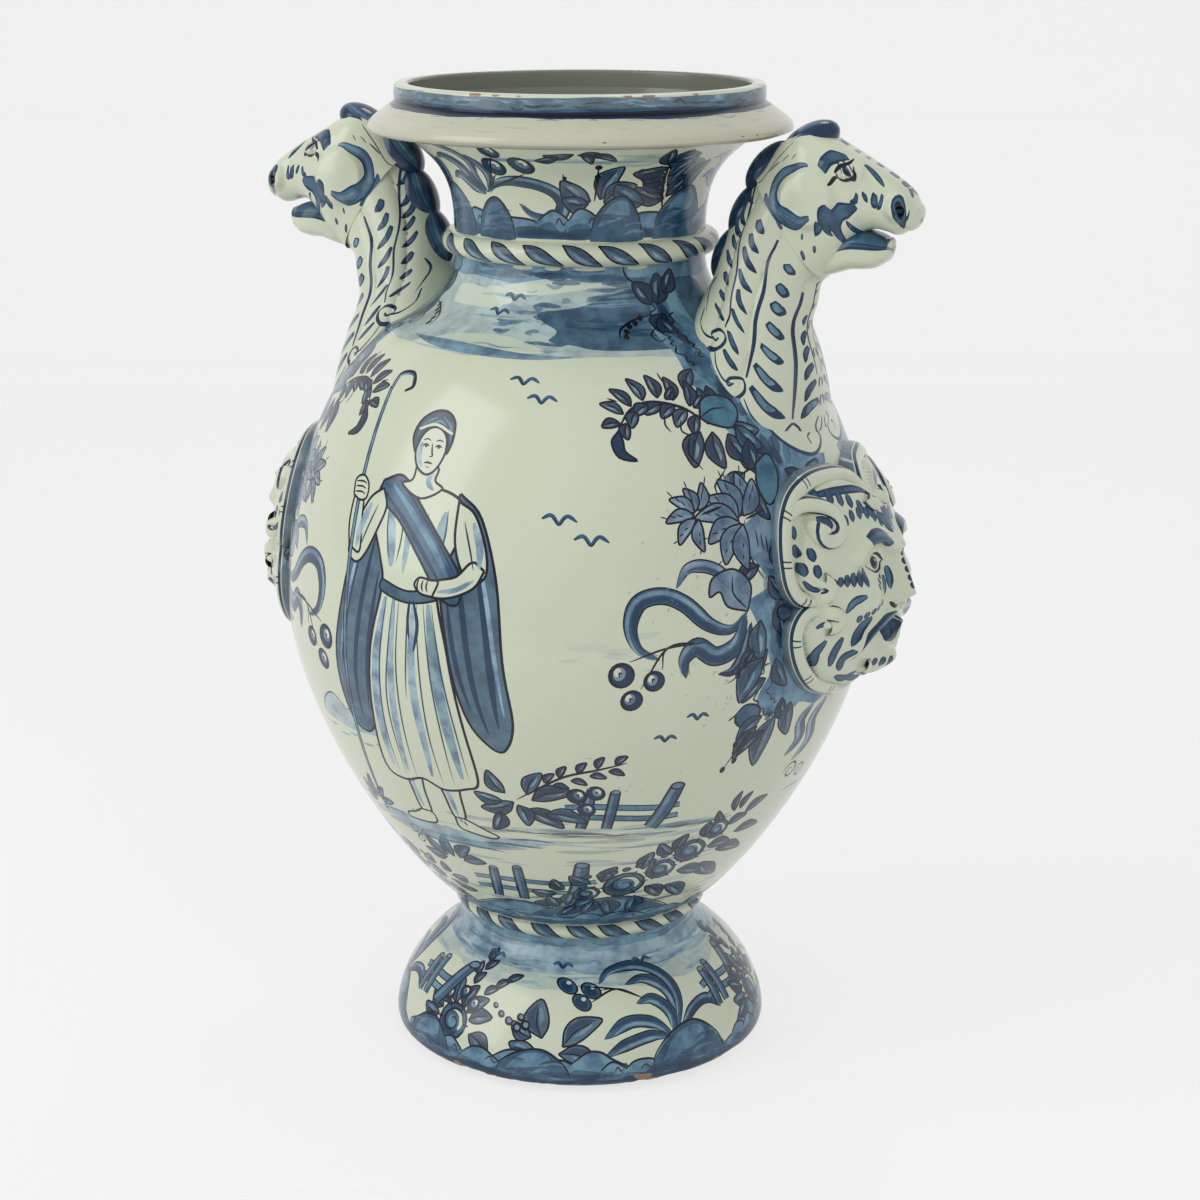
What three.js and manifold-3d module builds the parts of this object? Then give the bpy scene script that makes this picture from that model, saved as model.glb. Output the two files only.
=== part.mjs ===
// Two-handled ceramic jar: a footed ovoid jar with a wide overhanging lip, two horse-head
// handles on the shoulder and a framed grotesque mask below each handle.
// Millimetres, +Z up, origin at the centre of the resting ring, handles on the X axis.
// The potter throws the round pieces one by one, presses the handles and masks in moulds,
// and joins them all with slip before the firing, so nothing moves.

import * as THREE from 'three';
import { mergeVertices } from 'three/addons/utils/BufferGeometryUtils.js';
import Module from 'manifold-3d';

const wasm = await Module();
wasm.setup();

// Driving sizes of the round pieces, from the foot up
const WALL = 8;
const FLOOR_THICKNESS = 10;
const FOOT_RADIUS = 108;
const FOOT_EDGE_HEIGHT = 6;
const FOOT_EDGE_ROUNDING = 4;
const FOOT_RING_WIDTH = 9;
const FOOT_HEIGHT = 71;
const FOOT_WAIST_RADIUS = 64;
const FOOT_STEP_RADIUS = 83;
const FOOT_STEP_HEIGHT = 49;
const FOOT_CORDON_RADIUS = 73;
const FOOT_CORDON_HEIGHT = 12;
const FOOT_CORDON_BORE = 48;
const BELLY_BASE_RADIUS = 75.5;
const LOWER_BELLY_HEIGHT = 177;
const BELLY_RADIUS = 164.5;
const UPPER_BELLY_HEIGHT = 151;
const SHOULDER_RADIUS = 102.5;
const SHOULDER_HEIGHT = 38.5;
const NECK_RADIUS = 68.5;
const NECK_CORDON_RADIUS = 76;
const NECK_CORDON_HEIGHT = 13;
const MOUTH_HEIGHT = 51.5;
const MOUTH_TOP_RADIUS = 97;
const LIP_RADIUS = 115.5;
const LIP_HEIGHT = 16.5;
const RIM_RADIUS = 100;
const RIM_HEIGHT = 9.5;
const RIM_ROUNDING = 1.5;

// Driving sizes of the handles, from the root up to the muzzle
const HANDLE_ROOT_WIDTH = 120;
const HANDLE_NECK_WIDTH = 56;
const HANDLE_HEAD_WIDTH = 47;
const HANDLE_MUZZLE_WIDTH = 30;
const HANDLE_NECK_DEPTH = 53;
const REED_DEPTH = 2.6;
const REED_FADE = 0.6;
const ROOT_SCROLL_RADIUS = 7.5;
const ROOT_SCROLL_RISE = 4.5;
const MANE_WIDTH = 28;
const MANE_RISE = 5;
const MANE_SEAT = 5;
const MANE_LOCK_LENGTH = 34;
const CHEEK_RADIUS = 17;
const CHEEK_RISE = 4.5;
const EYE_RADIUS = 7;
const EYE_RISE = 6;
const NOSTRIL_RADIUS = 7;
const NOSTRIL_RISE = 5.5;
const JAW_WIDTH = 29;
const CORDON_CLEARANCE = 3.5;
const LIP_CLEARANCE = 4;

// Driving sizes of the masks and their scrolled frames
const MASK_DROP = 126;
const MASK_WIDTH = 134;
const MASK_HEIGHT = 108;
const MASK_EDGE_RISE = 4;
const MASK_FACE_RISE = 16;
const MASK_NOSE_RISE = 13;
const MASK_NOSE_DROP = 8;
const FRAME_BAND = 11;
const FRAME_RISE = 8;
const CURL_FILL = 0.75;

// Gap left between pieces whose touching faces are curved
const JOINT_GAP = 0.3;

// Facet counts, and the sections of a band for each place of its scroll
const ROUND_STEPS = 40;
const REED_STEPS = 3;
const HEAD_STEPS = 20;
const BAND_SIDES = 5;
const BAND_DETAIL = 1.5;

// Heights of the joints between the round pieces
const Z_FOOT_TOP = FOOT_HEIGHT;
const Z_BELLY_BASE = Z_FOOT_TOP + FOOT_CORDON_HEIGHT;
const Z_GIRTH = Z_BELLY_BASE + LOWER_BELLY_HEIGHT;
const Z_SHOULDER = Z_GIRTH + UPPER_BELLY_HEIGHT;
const Z_NECK = Z_SHOULDER + SHOULDER_HEIGHT;
const Z_MOUTH = Z_NECK + NECK_CORDON_HEIGHT;
const Z_LIP = Z_MOUTH + MOUTH_HEIGHT;
const Z_RIM = Z_LIP + LIP_HEIGHT;
const Z_TOP = Z_RIM + RIM_HEIGHT;

const radians = (degrees) => (degrees * Math.PI) / 180;
const mix = (a, b, t) => a + (b - a) * t;

// Colours of the fired piece
const glazed = (color, roughness = 0.18) =>
  new THREE.MeshStandardMaterial({ color, roughness, metalness: 0 });
const GLAZE = glazed(0xdfe6d6);
const BLUE_WASH = glazed(0x5f86a6);
const DEEP_BLUE = glazed(0x27456e);
const LIP_CREAM = glazed(0xd9cbb6);

// One profile curve in the plane of radius and height. Each end leaves or arrives at an
// angle in degrees from the outward direction, with a pull given as a share of the chord.
function bow(from, leave, leavePull, to, arrive, arrivePull, steps) {
  const start = new THREE.Vector2(...from);
  const end = new THREE.Vector2(...to);
  const chord = start.distanceTo(end);
  const toward = (angle, length) =>
    new THREE.Vector2(Math.cos(radians(angle)), Math.sin(radians(angle))).multiplyScalar(length);
  const first = start.clone().add(toward(leave, chord * leavePull));
  const second = end.clone().sub(toward(arrive, chord * arrivePull));
  return new THREE.CubicBezierCurve(start, first, second, end).getPoints(steps);
}

// Directions of the profile at its joints, in degrees from the outward direction
const UPRIGHT = 90;
const FOOT_EDGE_SLOPE = 95;
const FOOT_STEP_SLOPE = 145;
const BELLY_BASE_SLOPE = 40.7;
const UPPER_BELLY_SLOPE = 146.7;
const SHOULDER_SLOPE = 160;
const MOUTH_SLOPE = 35;

// Outer curves of the round pieces, written once and used for walls, cuts and seats
const FOOT_STEP = [FOOT_STEP_RADIUS, FOOT_STEP_HEIGHT];
const FOOT_CURVE = [
  ...bow([FOOT_RADIUS, FOOT_EDGE_HEIGHT], FOOT_EDGE_SLOPE, 0.3, FOOT_STEP, FOOT_STEP_SLOPE, 0.3, 4),
  ...bow(FOOT_STEP, FOOT_STEP_SLOPE, 0.35, [FOOT_WAIST_RADIUS, Z_FOOT_TOP], UPRIGHT, 0.35, 3).slice(1),
];
const GIRTH = [BELLY_RADIUS, Z_GIRTH];
const LOWER_BELLY_CURVE =
  bow([BELLY_BASE_RADIUS, Z_BELLY_BASE], BELLY_BASE_SLOPE, 0.26, GIRTH, UPRIGHT, 0.29, 8);
const UPPER_BELLY_CURVE =
  bow(GIRTH, UPRIGHT, 0.306, [SHOULDER_RADIUS, Z_SHOULDER], UPPER_BELLY_SLOPE, 0.32, 7);
const SHOULDER_CURVE =
  bow([SHOULDER_RADIUS, Z_SHOULDER], SHOULDER_SLOPE, 0.35, [NECK_RADIUS, Z_NECK], UPRIGHT, 0.4, 5);
const MOUTH_CURVE =
  bow([NECK_RADIUS, Z_MOUTH], UPRIGHT, 0.5, [MOUTH_TOP_RADIUS, Z_LIP], MOUTH_SLOPE, 0.4, 6);

// Radius of a profile curve at a height
function radiusAt(curve, height) {
  const next = curve.findIndex((point) => point.y >= height);
  if (next <= 0) return next === 0 ? curve[0].x : curve[curve.length - 1].x;
  const [low, high] = [curve[next - 1], curve[next]];
  return mix(low.x, high.x, (height - low.y) / (high.y - low.y));
}

const BODY_CURVE = [...LOWER_BELLY_CURVE, ...UPPER_BELLY_CURVE.slice(1), ...SHOULDER_CURVE.slice(1)];
const bodyRadius = (height) => radiusAt(BODY_CURVE, height);

// Height at which the body has a radius, on its upper half
function bodyHeight(radius) {
  const upper = [...UPPER_BELLY_CURVE, ...SHOULDER_CURVE.slice(1)];
  const next = upper.findIndex((point) => point.x <= radius);
  if (next <= 0) return next === 0 ? upper[0].y : upper[upper.length - 1].y;
  const [low, high] = [upper[next - 1], upper[next]];
  return mix(low.y, high.y, (low.x - radius) / (low.x - high.x));
}

// Moves a curve inward by a wall thickness, square to the curve, at the same heights
function inward(curve, wall, keep) {
  return keep.map((share) => {
    const index = Math.round(share * (curve.length - 1));
    const before = curve[Math.max(index - 1, 0)];
    const after = curve[Math.min(index + 1, curve.length - 1)];
    const slope = (after.x - before.x) / (after.y - before.y);
    const point = curve[index];
    return new THREE.Vector2(point.x - wall * Math.hypot(1, slope), point.y);
  });
}

// A welded mesh whose faces point out
function solidGeometry(geometry) {
  const bare = geometry.clone();
  bare.deleteAttribute('normal');
  bare.deleteAttribute('uv');
  const welded = mergeVertices(bare, 1e-4);
  const place = welded.getAttribute('position');
  const corner = (i) => new THREE.Vector3().fromBufferAttribute(place, i);
  const index = [];
  let volume = 0;
  for (let i = 0; i < welded.index.count; i += 3) {
    const face = [0, 1, 2].map((k) => welded.index.getX(i + k));
    if (new Set(face).size < 3) continue;
    index.push(face);
    const [a, b, c] = face.map(corner);
    volume += a.dot(b.cross(c));
  }
  welded.setIndex((volume < 0 ? index.map(([a, b, c]) => [a, c, b]) : index).flat());
  return welded;
}

// A geometry from corners and triangles
function meshGeometry(corners, faces) {
  const geometry = new THREE.BufferGeometry();
  geometry.setAttribute('position', new THREE.Float32BufferAttribute(corners.flat(), 3));
  geometry.setIndex(faces.flat());
  return solidGeometry(geometry);
}

function toSolid(geometry) {
  return new wasm.Manifold(new wasm.Mesh({
    numProp: 3,
    vertProperties: Float32Array.from(geometry.getAttribute('position').array),
    triVerts: Uint32Array.from(geometry.index.array),
  }));
}

function fromSolid(solid) {
  const mesh = solid.getMesh();
  const geometry = new THREE.BufferGeometry();
  geometry.setAttribute('position', new THREE.Float32BufferAttribute(mesh.vertProperties, 3));
  geometry.setIndex(Array.from(mesh.triVerts));
  return geometry;
}

// Cuts and joins geometries with one another
function combine(geometry, { add = [], cut = [] }) {
  let solid = toSolid(geometry);
  for (const other of add) solid = solid.add(toSolid(other));
  for (const other of cut) solid = solid.subtract(toSolid(other));
  return fromSolid(solid);
}

// A revolved piece from a profile of radius and height points
function turned(profile) {
  const closed = profile[0].x === 0 ? profile : [...profile, profile[0]];
  return solidGeometry(new THREE.LatheGeometry(closed, ROUND_STEPS).rotateX(Math.PI / 2));
}

const point = (radius, height) => new THREE.Vector2(radius, height);

// A ring between an outer curve, bottom up, and an inner one, bottom up
const ring = (outer, inner) => turned([...outer, ...[...inner].reverse()]);

// Half-round band between two heights
function cordonCurve(radius, seat, low, high, steps) {
  const middle = (low + high) / 2;
  return Array.from({ length: steps + 1 }, (_, i) => {
    const turn = mix(-Math.PI / 2, Math.PI / 2, i / steps);
    return point(mix(seat, radius, Math.cos(turn)), middle + ((high - low) / 2) * Math.sin(turn));
  });
}

// Round pieces
function foot() {
  const inner = inward(FOOT_CURVE, WALL, [0.55, 0.75, 1]);
  const low = point(FOOT_RADIUS - FOOT_RING_WIDTH, 0);
  const corner = [FOOT_RADIUS - FOOT_EDGE_ROUNDING, 0];
  const edge = bow(corner, 0, 0.55, [FOOT_RADIUS, FOOT_EDGE_HEIGHT], UPRIGHT, 0.55, 3);
  const shoulder = point(FOOT_RADIUS - FOOT_RING_WIDTH - 2, FOOT_EDGE_HEIGHT);
  return ring([...edge, ...FOOT_CURVE.slice(1)], [low, shoulder, ...inner]);
}

function footCordon() {
  const outer = cordonCurve(FOOT_CORDON_RADIUS, FOOT_WAIST_RADIUS, Z_FOOT_TOP, Z_BELLY_BASE, 5);
  return ring(outer, [point(FOOT_CORDON_BORE, Z_FOOT_TOP), point(FOOT_CORDON_BORE, Z_BELLY_BASE)]);
}

function lowerBelly() {
  const inner = inward(LOWER_BELLY_CURVE, WALL, [0.34, 0.56, 0.78, 1]);
  const inside = [
    point(0, Z_BELLY_BASE + FLOOR_THICKNESS),
    point(BELLY_BASE_RADIUS - WALL, Z_BELLY_BASE + FLOOR_THICKNESS * 1.4),
    ...inner,
  ];
  return turned([point(0, Z_BELLY_BASE), ...LOWER_BELLY_CURVE, ...inside.reverse()]);
}

const upperBelly = () => ring(UPPER_BELLY_CURVE, inward(UPPER_BELLY_CURVE, WALL, [0, 0.43, 0.71, 1]));

const shoulder = () => ring(SHOULDER_CURVE, inward(SHOULDER_CURVE, WALL, [0, 0.33, 0.67, 1]));

function neckCordon() {
  const outer = cordonCurve(NECK_CORDON_RADIUS, NECK_RADIUS, Z_NECK, Z_MOUTH, 5);
  return ring(outer, [point(NECK_RADIUS - WALL, Z_NECK), point(NECK_RADIUS - WALL, Z_MOUTH)]);
}

const RIM_BORE = RIM_RADIUS - WALL;

function mouth() {
  const inner = inward(MOUTH_CURVE, WALL, [0, 0.43, 0.72]);
  return ring(MOUTH_CURVE, [...inner, point(RIM_BORE - 3, Z_LIP)]);
}

// The lip runs out from the mouth, turns over a round edge and slopes back up to the rim
function lipFlange() {
  const outer = [
    point(MOUTH_TOP_RADIUS, Z_LIP),
    ...bow([LIP_RADIUS - 5, Z_LIP], 0, 0.5, [LIP_RADIUS - 3, Z_LIP + LIP_HEIGHT * 0.46], 140, 0.9, 4),
    point(RIM_RADIUS, Z_RIM),
  ];
  return ring(outer, [point(RIM_BORE - 3, Z_LIP), point(RIM_BORE, Z_RIM)]);
}

function rimCollar() {
  const outer = [
    point(RIM_RADIUS, Z_RIM),
    point(RIM_RADIUS, Z_TOP - RIM_ROUNDING),
    point(RIM_RADIUS - RIM_ROUNDING, Z_TOP),
  ];
  const inner = [
    point(RIM_BORE, Z_RIM),
    point(RIM_BORE, Z_TOP - RIM_ROUNDING),
    point(RIM_BORE + RIM_ROUNDING, Z_TOP),
  ];
  return ring(outer, inner);
}

// The closed space of the body, grown by the joint gap, which cuts what is luted to it
function bodyCutter() {
  const grown = BODY_CURVE.map((here, i) => {
    const before = BODY_CURVE[Math.max(i - 1, 0)];
    const after = BODY_CURVE[Math.min(i + 1, BODY_CURVE.length - 1)];
    const along = after.clone().sub(before).normalize();
    return point(here.x + along.y * JOINT_GAP, here.y - along.x * JOINT_GAP);
  });
  const top = grown[grown.length - 1];
  return turned([point(0, grown[0].y), ...grown, point(0, top.y)]);
}

// Solid through a row of closed loops, with a flat or domed face at each end
function loft(loops) {
  const count = loops[0].length;
  const corners = loops.flat();
  const faces = [];
  for (let k = 0; k + 1 < loops.length; k += 1) {
    for (let i = 0; i < count; i += 1) {
      const a = k * count + i;
      const b = k * count + ((i + 1) % count);
      faces.push([a, b, b + count], [a, b + count, a + count]);
    }
  }
  const cap = (loop, offset, turn) => {
    const centre = [0, 1, 2].map((axis) => loop.reduce((sum, p) => sum + p[axis], 0) / count);
    const hub = corners.push(centre) - 1;
    for (let i = 0; i < count; i += 1) {
      const pair = [offset + i, offset + ((i + 1) % count)];
      faces.push([hub, pair[turn], pair[1 - turn]]);
    }
  };
  cap(loops[0], 0, 1);
  cap(loops[loops.length - 1], (loops.length - 1) * count, 0);
  return meshGeometry(corners, faces);
}

// Anchors of the handle: the shoulder it stands on, and the cordon and lip it stays clear of
const NECK_BACK = NECK_CORDON_RADIUS + CORDON_CLEARANCE;
const HEAD_BACK = LIP_RADIUS + LIP_CLEARANCE;
const ROOT_BACK_Z = bodyHeight(NECK_BACK);

// Sections of the handle in the plane of radius and height: its back and front corner and
// half its width. The first lies inside the body and is cut away by it.
const half = (width) => width / 2;
const NECK_SECTIONS = [
  { back: [NECK_BACK - 14, Z_SHOULDER - 26], front: [SHOULDER_RADIUS + 30, Z_SHOULDER - 84] },
  { back: [NECK_BACK - 10, Z_SHOULDER - 4], front: [SHOULDER_RADIUS + 39, Z_SHOULDER - 56] },
  { back: [NECK_BACK - 8, Z_SHOULDER + 8], front: [SHOULDER_RADIUS + 39, Z_SHOULDER - 39] },
  { back: [NECK_BACK - 4, ROOT_BACK_Z + 6], front: [SHOULDER_RADIUS + 36.5, Z_SHOULDER - 17] },
  { back: [NECK_BACK + 1, ROOT_BACK_Z + 17], front: [NECK_BACK + 1 + HANDLE_NECK_DEPTH, Z_SHOULDER + 4] },
  { back: [NECK_BACK + 5, Z_MOUTH - 6], front: [NECK_BACK + 4 + HANDLE_NECK_DEPTH, Z_SHOULDER + 18] },
  { back: [NECK_BACK + 11, Z_MOUTH + 9], front: [HEAD_BACK + 19, Z_LIP - 75] },
  { back: [HEAD_BACK - 13.5, Z_LIP - 15], front: [HEAD_BACK + 23.5, Z_LIP - 70] },
];
const NECK_HALF_WIDTHS = [
  half(HANDLE_ROOT_WIDTH) - 4,
  half(HANDLE_ROOT_WIDTH) + 4,
  half(HANDLE_ROOT_WIDTH) - 2,
  mix(half(HANDLE_ROOT_WIDTH), half(HANDLE_NECK_WIDTH), 0.5),
  half(HANDLE_NECK_WIDTH) + 5,
  half(HANDLE_NECK_WIDTH),
  mix(half(HANDLE_NECK_WIDTH), half(HANDLE_HEAD_WIDTH), 0.7),
  half(HANDLE_HEAD_WIDTH) - 1.5,
];
const GROOVES_AT_ROOT = [0, 32, 72, 96, 180];
const GROOVES_AT_HEAD = [0, 26, 86, 140, 180];

// Reeded loop of the neck: each reed swells between two grooves that fan out to the root
function neckLoop(index) {
  const { back, front } = NECK_SECTIONS[index];
  const width = NECK_HALF_WIDTHS[index];
  const rise = index / (NECK_SECTIONS.length - 1);
  const reeds = GROOVES_AT_ROOT.length - 1;
  const loop = [];
  for (const side of [1, -1]) {
    for (let step = 0; step < reeds * REED_STEPS; step += 1) {
      const along = (side > 0 ? step : reeds * REED_STEPS - step) / REED_STEPS;
      const reed = Math.min(Math.floor(along), reeds - 1);
      const within = along - reed;
      const low = mix(GROOVES_AT_ROOT[reed], GROOVES_AT_HEAD[reed], rise);
      const high = mix(GROOVES_AT_ROOT[reed + 1], GROOVES_AT_HEAD[reed + 1], rise);
      const angle = radians(mix(low, high, within));
      const wholeReed = reed === 0 || reed === reeds - 1;
      const swell = wholeReed
        ? Math.cos((Math.PI / 2) * (reed === 0 ? within : 1 - within))
        : Math.sin(Math.PI * within);
      const grow = 1 - (REED_DEPTH * (1 - swell) * (1 - rise * REED_FADE)) / width;
      const forward = (1 + Math.cos(angle) * grow) / 2;
      loop.push([
        mix(back[0], front[0], forward),
        side * width * Math.sin(angle) * grow,
        mix(back[1], front[1], forward),
      ]);
    }
  }
  return loop;
}

// Sections of the head from the neck to the muzzle: crown and jaw corner, and half its width
const HEAD_SECTIONS = [
  { crown: [-13.5, -15], jaw: [23.5, -70], width: half(HANDLE_HEAD_WIDTH) - 1.5 },
  { crown: [-4, -3], jaw: [26.5, -67], width: half(HANDLE_HEAD_WIDTH) - 1 },
  { crown: [4, 3], jaw: [29.5, -64], width: half(HANDLE_HEAD_WIDTH) },
  { crown: [12, 6.5], jaw: [33.5, -59], width: half(HANDLE_HEAD_WIDTH) },
  { crown: [23, 3], jaw: [38.5, -51], width: half(HANDLE_HEAD_WIDTH) - 1.5 },
  { crown: [35, -3.5], jaw: [43.5, -46], width: mix(half(HANDLE_HEAD_WIDTH), half(HANDLE_MUZZLE_WIDTH), 0.45) },
  { crown: [47, -10], jaw: [49.5, -44], width: mix(half(HANDLE_HEAD_WIDTH), half(HANDLE_MUZZLE_WIDTH), 0.8) },
  { crown: [58, -16.5], jaw: [55.5, -45], width: half(HANDLE_MUZZLE_WIDTH) },
  { crown: [66.5, -23], jaw: [62, -46.5], width: half(HANDLE_MUZZLE_WIDTH) },
  { crown: [71, -30], jaw: [66.5, -44], width: half(HANDLE_MUZZLE_WIDTH) - 4 },
];

// Loop of the head, grown by a gap where it cuts the lower jaw
function headLoop({ crown, jaw, width }, gap) {
  const middle = [HEAD_BACK + (crown[0] + jaw[0]) / 2, Z_LIP + (crown[1] + jaw[1]) / 2];
  const reach = [(crown[0] - jaw[0]) / 2, (crown[1] - jaw[1]) / 2];
  const grow = 1 + gap / Math.hypot(...reach);
  return Array.from({ length: HEAD_STEPS }, (_, i) => {
    const turn = (i / HEAD_STEPS) * 2 * Math.PI;
    const up = Math.sign(Math.cos(turn)) * Math.abs(Math.cos(turn)) ** 0.9;
    const side = Math.sign(Math.sin(turn)) * Math.abs(Math.sin(turn)) ** 0.8;
    return [middle[0] + reach[0] * up * grow, (width + gap) * side, middle[1] + reach[1] * up * grow];
  });
}

function headShape(gap) {
  return loft(HEAD_SECTIONS.map((section) => headLoop(section, gap)));
}

// Flattened dome with its flat axis along Y
function button(x, y, z, radius, rise, steps) {
  const dome = new THREE.SphereGeometry(1, steps, 4);
  return solidGeometry(dome.scale(radius, rise, radius).translate(x, y, z));
}

// Cheek, eye and nostril of one side, on the flank of the head
function headFeatures(side) {
  const cheekFlank = half(HANDLE_HEAD_WIDTH) - 1.5;
  const muzzleFlank = half(HANDLE_MUZZLE_WIDTH) - 1.5;
  return [
    button(HEAD_BACK + 17, side * cheekFlank, Z_LIP - 28, CHEEK_RADIUS, CHEEK_RISE, 12),
    button(HEAD_BACK + 37, side * (cheekFlank - 5), Z_LIP - 15, EYE_RADIUS, EYE_RISE, 8),
    button(HEAD_BACK + 63, side * (muzzleFlank - 2), Z_LIP - 33, NOSTRIL_RADIUS, NOSTRIL_RISE, 8),
  ];
}

// The plane where the head is luted to the neck, as a slab that keeps the gap open
function headJointSlab() {
  const { back, front } = NECK_SECTIONS[NECK_SECTIONS.length - 1];
  const across = new THREE.Vector2(front[0] - back[0], front[1] - back[1]);
  const slab = new THREE.BoxGeometry(across.length() * 2, HANDLE_HEAD_WIDTH * 2, JOINT_GAP);
  slab.rotateY(-across.angle());
  slab.translate((back[0] + front[0]) / 2, 0, (back[1] + front[1]) / 2);
  return solidGeometry(slab);
}

function horseHead() {
  const joined = combine(headShape(0), { add: [...headFeatures(1), ...headFeatures(-1)] });
  return largest(combine(joined, { cut: [headJointSlab()] }));
}

// Keeps the biggest body of a cut solid
function largest(geometry) {
  const bodies = toSolid(geometry).decompose();
  bodies.sort((a, b) => b.volume() - a.volume());
  return fromSolid(bodies[0]);
}

// Volutes that end the reeds at the root: buttons that stand out where the flank of the neck
// meets the body. The side is a share of half the root width.
const ROOT_SCROLLS = [
  { radius: NECK_BACK + 18, side: 0.74 },
  { radius: NECK_BACK + 33, side: 0.93 },
  { radius: SHOULDER_RADIUS + 33, side: 0.53 },
];

function rootScroll({ radius, side }, flank) {
  const across = flank * side * half(HANDLE_ROOT_WIDTH);
  const height = bodyHeight(Math.hypot(radius, across)) + ROOT_SCROLL_RISE / 2;
  return solidGeometry(new THREE.SphereGeometry(ROOT_SCROLL_RADIUS, 8, 5).translate(radius, across, height));
}

function handleNeck() {
  const shape = loft(NECK_SECTIONS.map((_, index) => neckLoop(index)));
  const scrolls = ROOT_SCROLLS.flatMap((scroll) => [rootScroll(scroll, 1), rootScroll(scroll, -1)]);
  return largest(combine(shape, { add: scrolls, cut: [BODY_CUTTER, headJointSlab()] }));
}

// Lower jaw: sections from the cheek to the lip, each with its upper and lower corner
const JAW_SECTIONS = [
  { top: [28, -50], low: [26, -67], width: half(JAW_WIDTH) - 3 },
  { top: [36, -46], low: [35, -64], width: half(JAW_WIDTH) },
  { top: [46, -48], low: [45, -65], width: half(JAW_WIDTH) },
  { top: [54, -50.5], low: [53.5, -63.5], width: half(JAW_WIDTH) - 2 },
  { top: [59, -52.5], low: [57.5, -60], width: half(JAW_WIDTH) - 5 },
];

function lowerJaw() {
  const loops = JAW_SECTIONS.map(({ top, low, width }) => headLoop({ crown: top, jaw: low, width }, 0)
    .filter((_, i) => i % 2 === 0));
  return largest(combine(loft(loops), { cut: [headShape(JOINT_GAP)] }));
}

// Mane: a row of rounded locks down the back of the neck, over a strap that joins them
const MANE_LINE = [
  [HEAD_BACK + 9, Z_LIP + 3],
  [HEAD_BACK - 14, Z_LIP - 12],
  [NECK_BACK + 14, Z_MOUTH + 14],
  [NECK_BACK + 4.5, Z_MOUTH - 8],
];

// Points of the mane line moved into the neck, where the middle of each lock lies
function maneSeats() {
  const path = new THREE.SplineCurve(MANE_LINE.map(([x, z]) => new THREE.Vector2(x, z)));
  return MANE_LINE.map(([x, z], i) => {
    const along = path.getTangent(i / (MANE_LINE.length - 1));
    return { x: x - along.y * MANE_SEAT, z: z + along.x * MANE_SEAT, angle: along.angle() };
  });
}

function maneLock({ x, z, angle }) {
  const lock = new THREE.SphereGeometry(1, 8, 6);
  lock.scale(MANE_LOCK_LENGTH / 2, half(MANE_WIDTH), MANE_SEAT + MANE_RISE);
  lock.rotateY(-angle);
  return solidGeometry(lock.translate(x, 0, z));
}

// A strap that follows the back of the neck under the locks
function maneStrap() {
  const path = new THREE.CatmullRomCurve3(maneSeats().map(({ x, z }) => new THREE.Vector3(x, 0, z)));
  const outline = new THREE.Shape();
  outline.absellipse(0, 0, MANE_SEAT + MANE_RISE * 0.3, half(MANE_WIDTH) * 0.7, 0, 2 * Math.PI);
  return solidGeometry(new THREE.ExtrudeGeometry(outline, { steps: 5, curveSegments: 3, extrudePath: path }));
}

function mane(neck, head) {
  const locks = maneSeats().map(maneLock);
  return largest(combine(maneStrap(), { add: locks, cut: [neck, head] }));
}

// Mask on the belly: places are given across and up from its centre, wrapped on the belly
const Z_MASK = Z_SHOULDER - MASK_DROP;

// Turns a place on the mask and its rise over the belly into a corner in space
function onBelly(across, up, rise) {
  const height = Z_MASK + up;
  const radius = bodyRadius(height) + rise;
  const turn = across / BELLY_RADIUS;
  return [radius * Math.cos(turn), radius * Math.sin(turn), height];
}

const hump = (x, centre, spread) => Math.exp(-(((x - centre) / spread) ** 2));

// Forms of the face as shares of half the mask, across and up from its centre, on both sides:
// round swellings and ridges, each with its spread and its rise in millimetres
const FACE_SWELLINGS = [
  { at: [0, 0.6], spread: [0.33, 0.24], rise: 3.5 },
  { at: [0.27, 0.22], spread: [0.13, 0.12], rise: -5.5 },
  { at: [0.27, 0.21], spread: [0.08, 0.08], rise: 5 },
  { at: [0.12, -0.17], spread: [0.055, 0.075], rise: 5 },
  { at: [0.4, -0.08], spread: [0.17, 0.19], rise: 5 },
  { at: [0, -0.53], spread: [0.17, 0.1], rise: -6 },
  { at: [0, -0.85], spread: [0.2, 0.13], rise: 8 },
];
const FACE_RIDGES = [
  { line: [[0.07, 0.33], [0.2, 0.44], [0.36, 0.45], [0.53, 0.32]], spread: 0.075, rise: 5 },
  { line: [[0.07, -0.31], [0.21, -0.33], [0.39, -0.41], [0.57, -0.58]], spread: 0.075, rise: 5 },
  { line: [[0, -0.67], [0.14, -0.65], [0.24, -0.55]], spread: 0.06, rise: 4.5 },
];

function distanceTo(line, x, y) {
  const spot = new THREE.Vector3(x, y, 0);
  const near = new THREE.Vector3();
  return Math.min(...line.slice(1).map((end, i) => new THREE.Line3(
    new THREE.Vector3(...line[i], 0),
    new THREE.Vector3(...end, 0),
  ).closestPointToPoint(spot, true, near).distanceTo(spot)));
}

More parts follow.
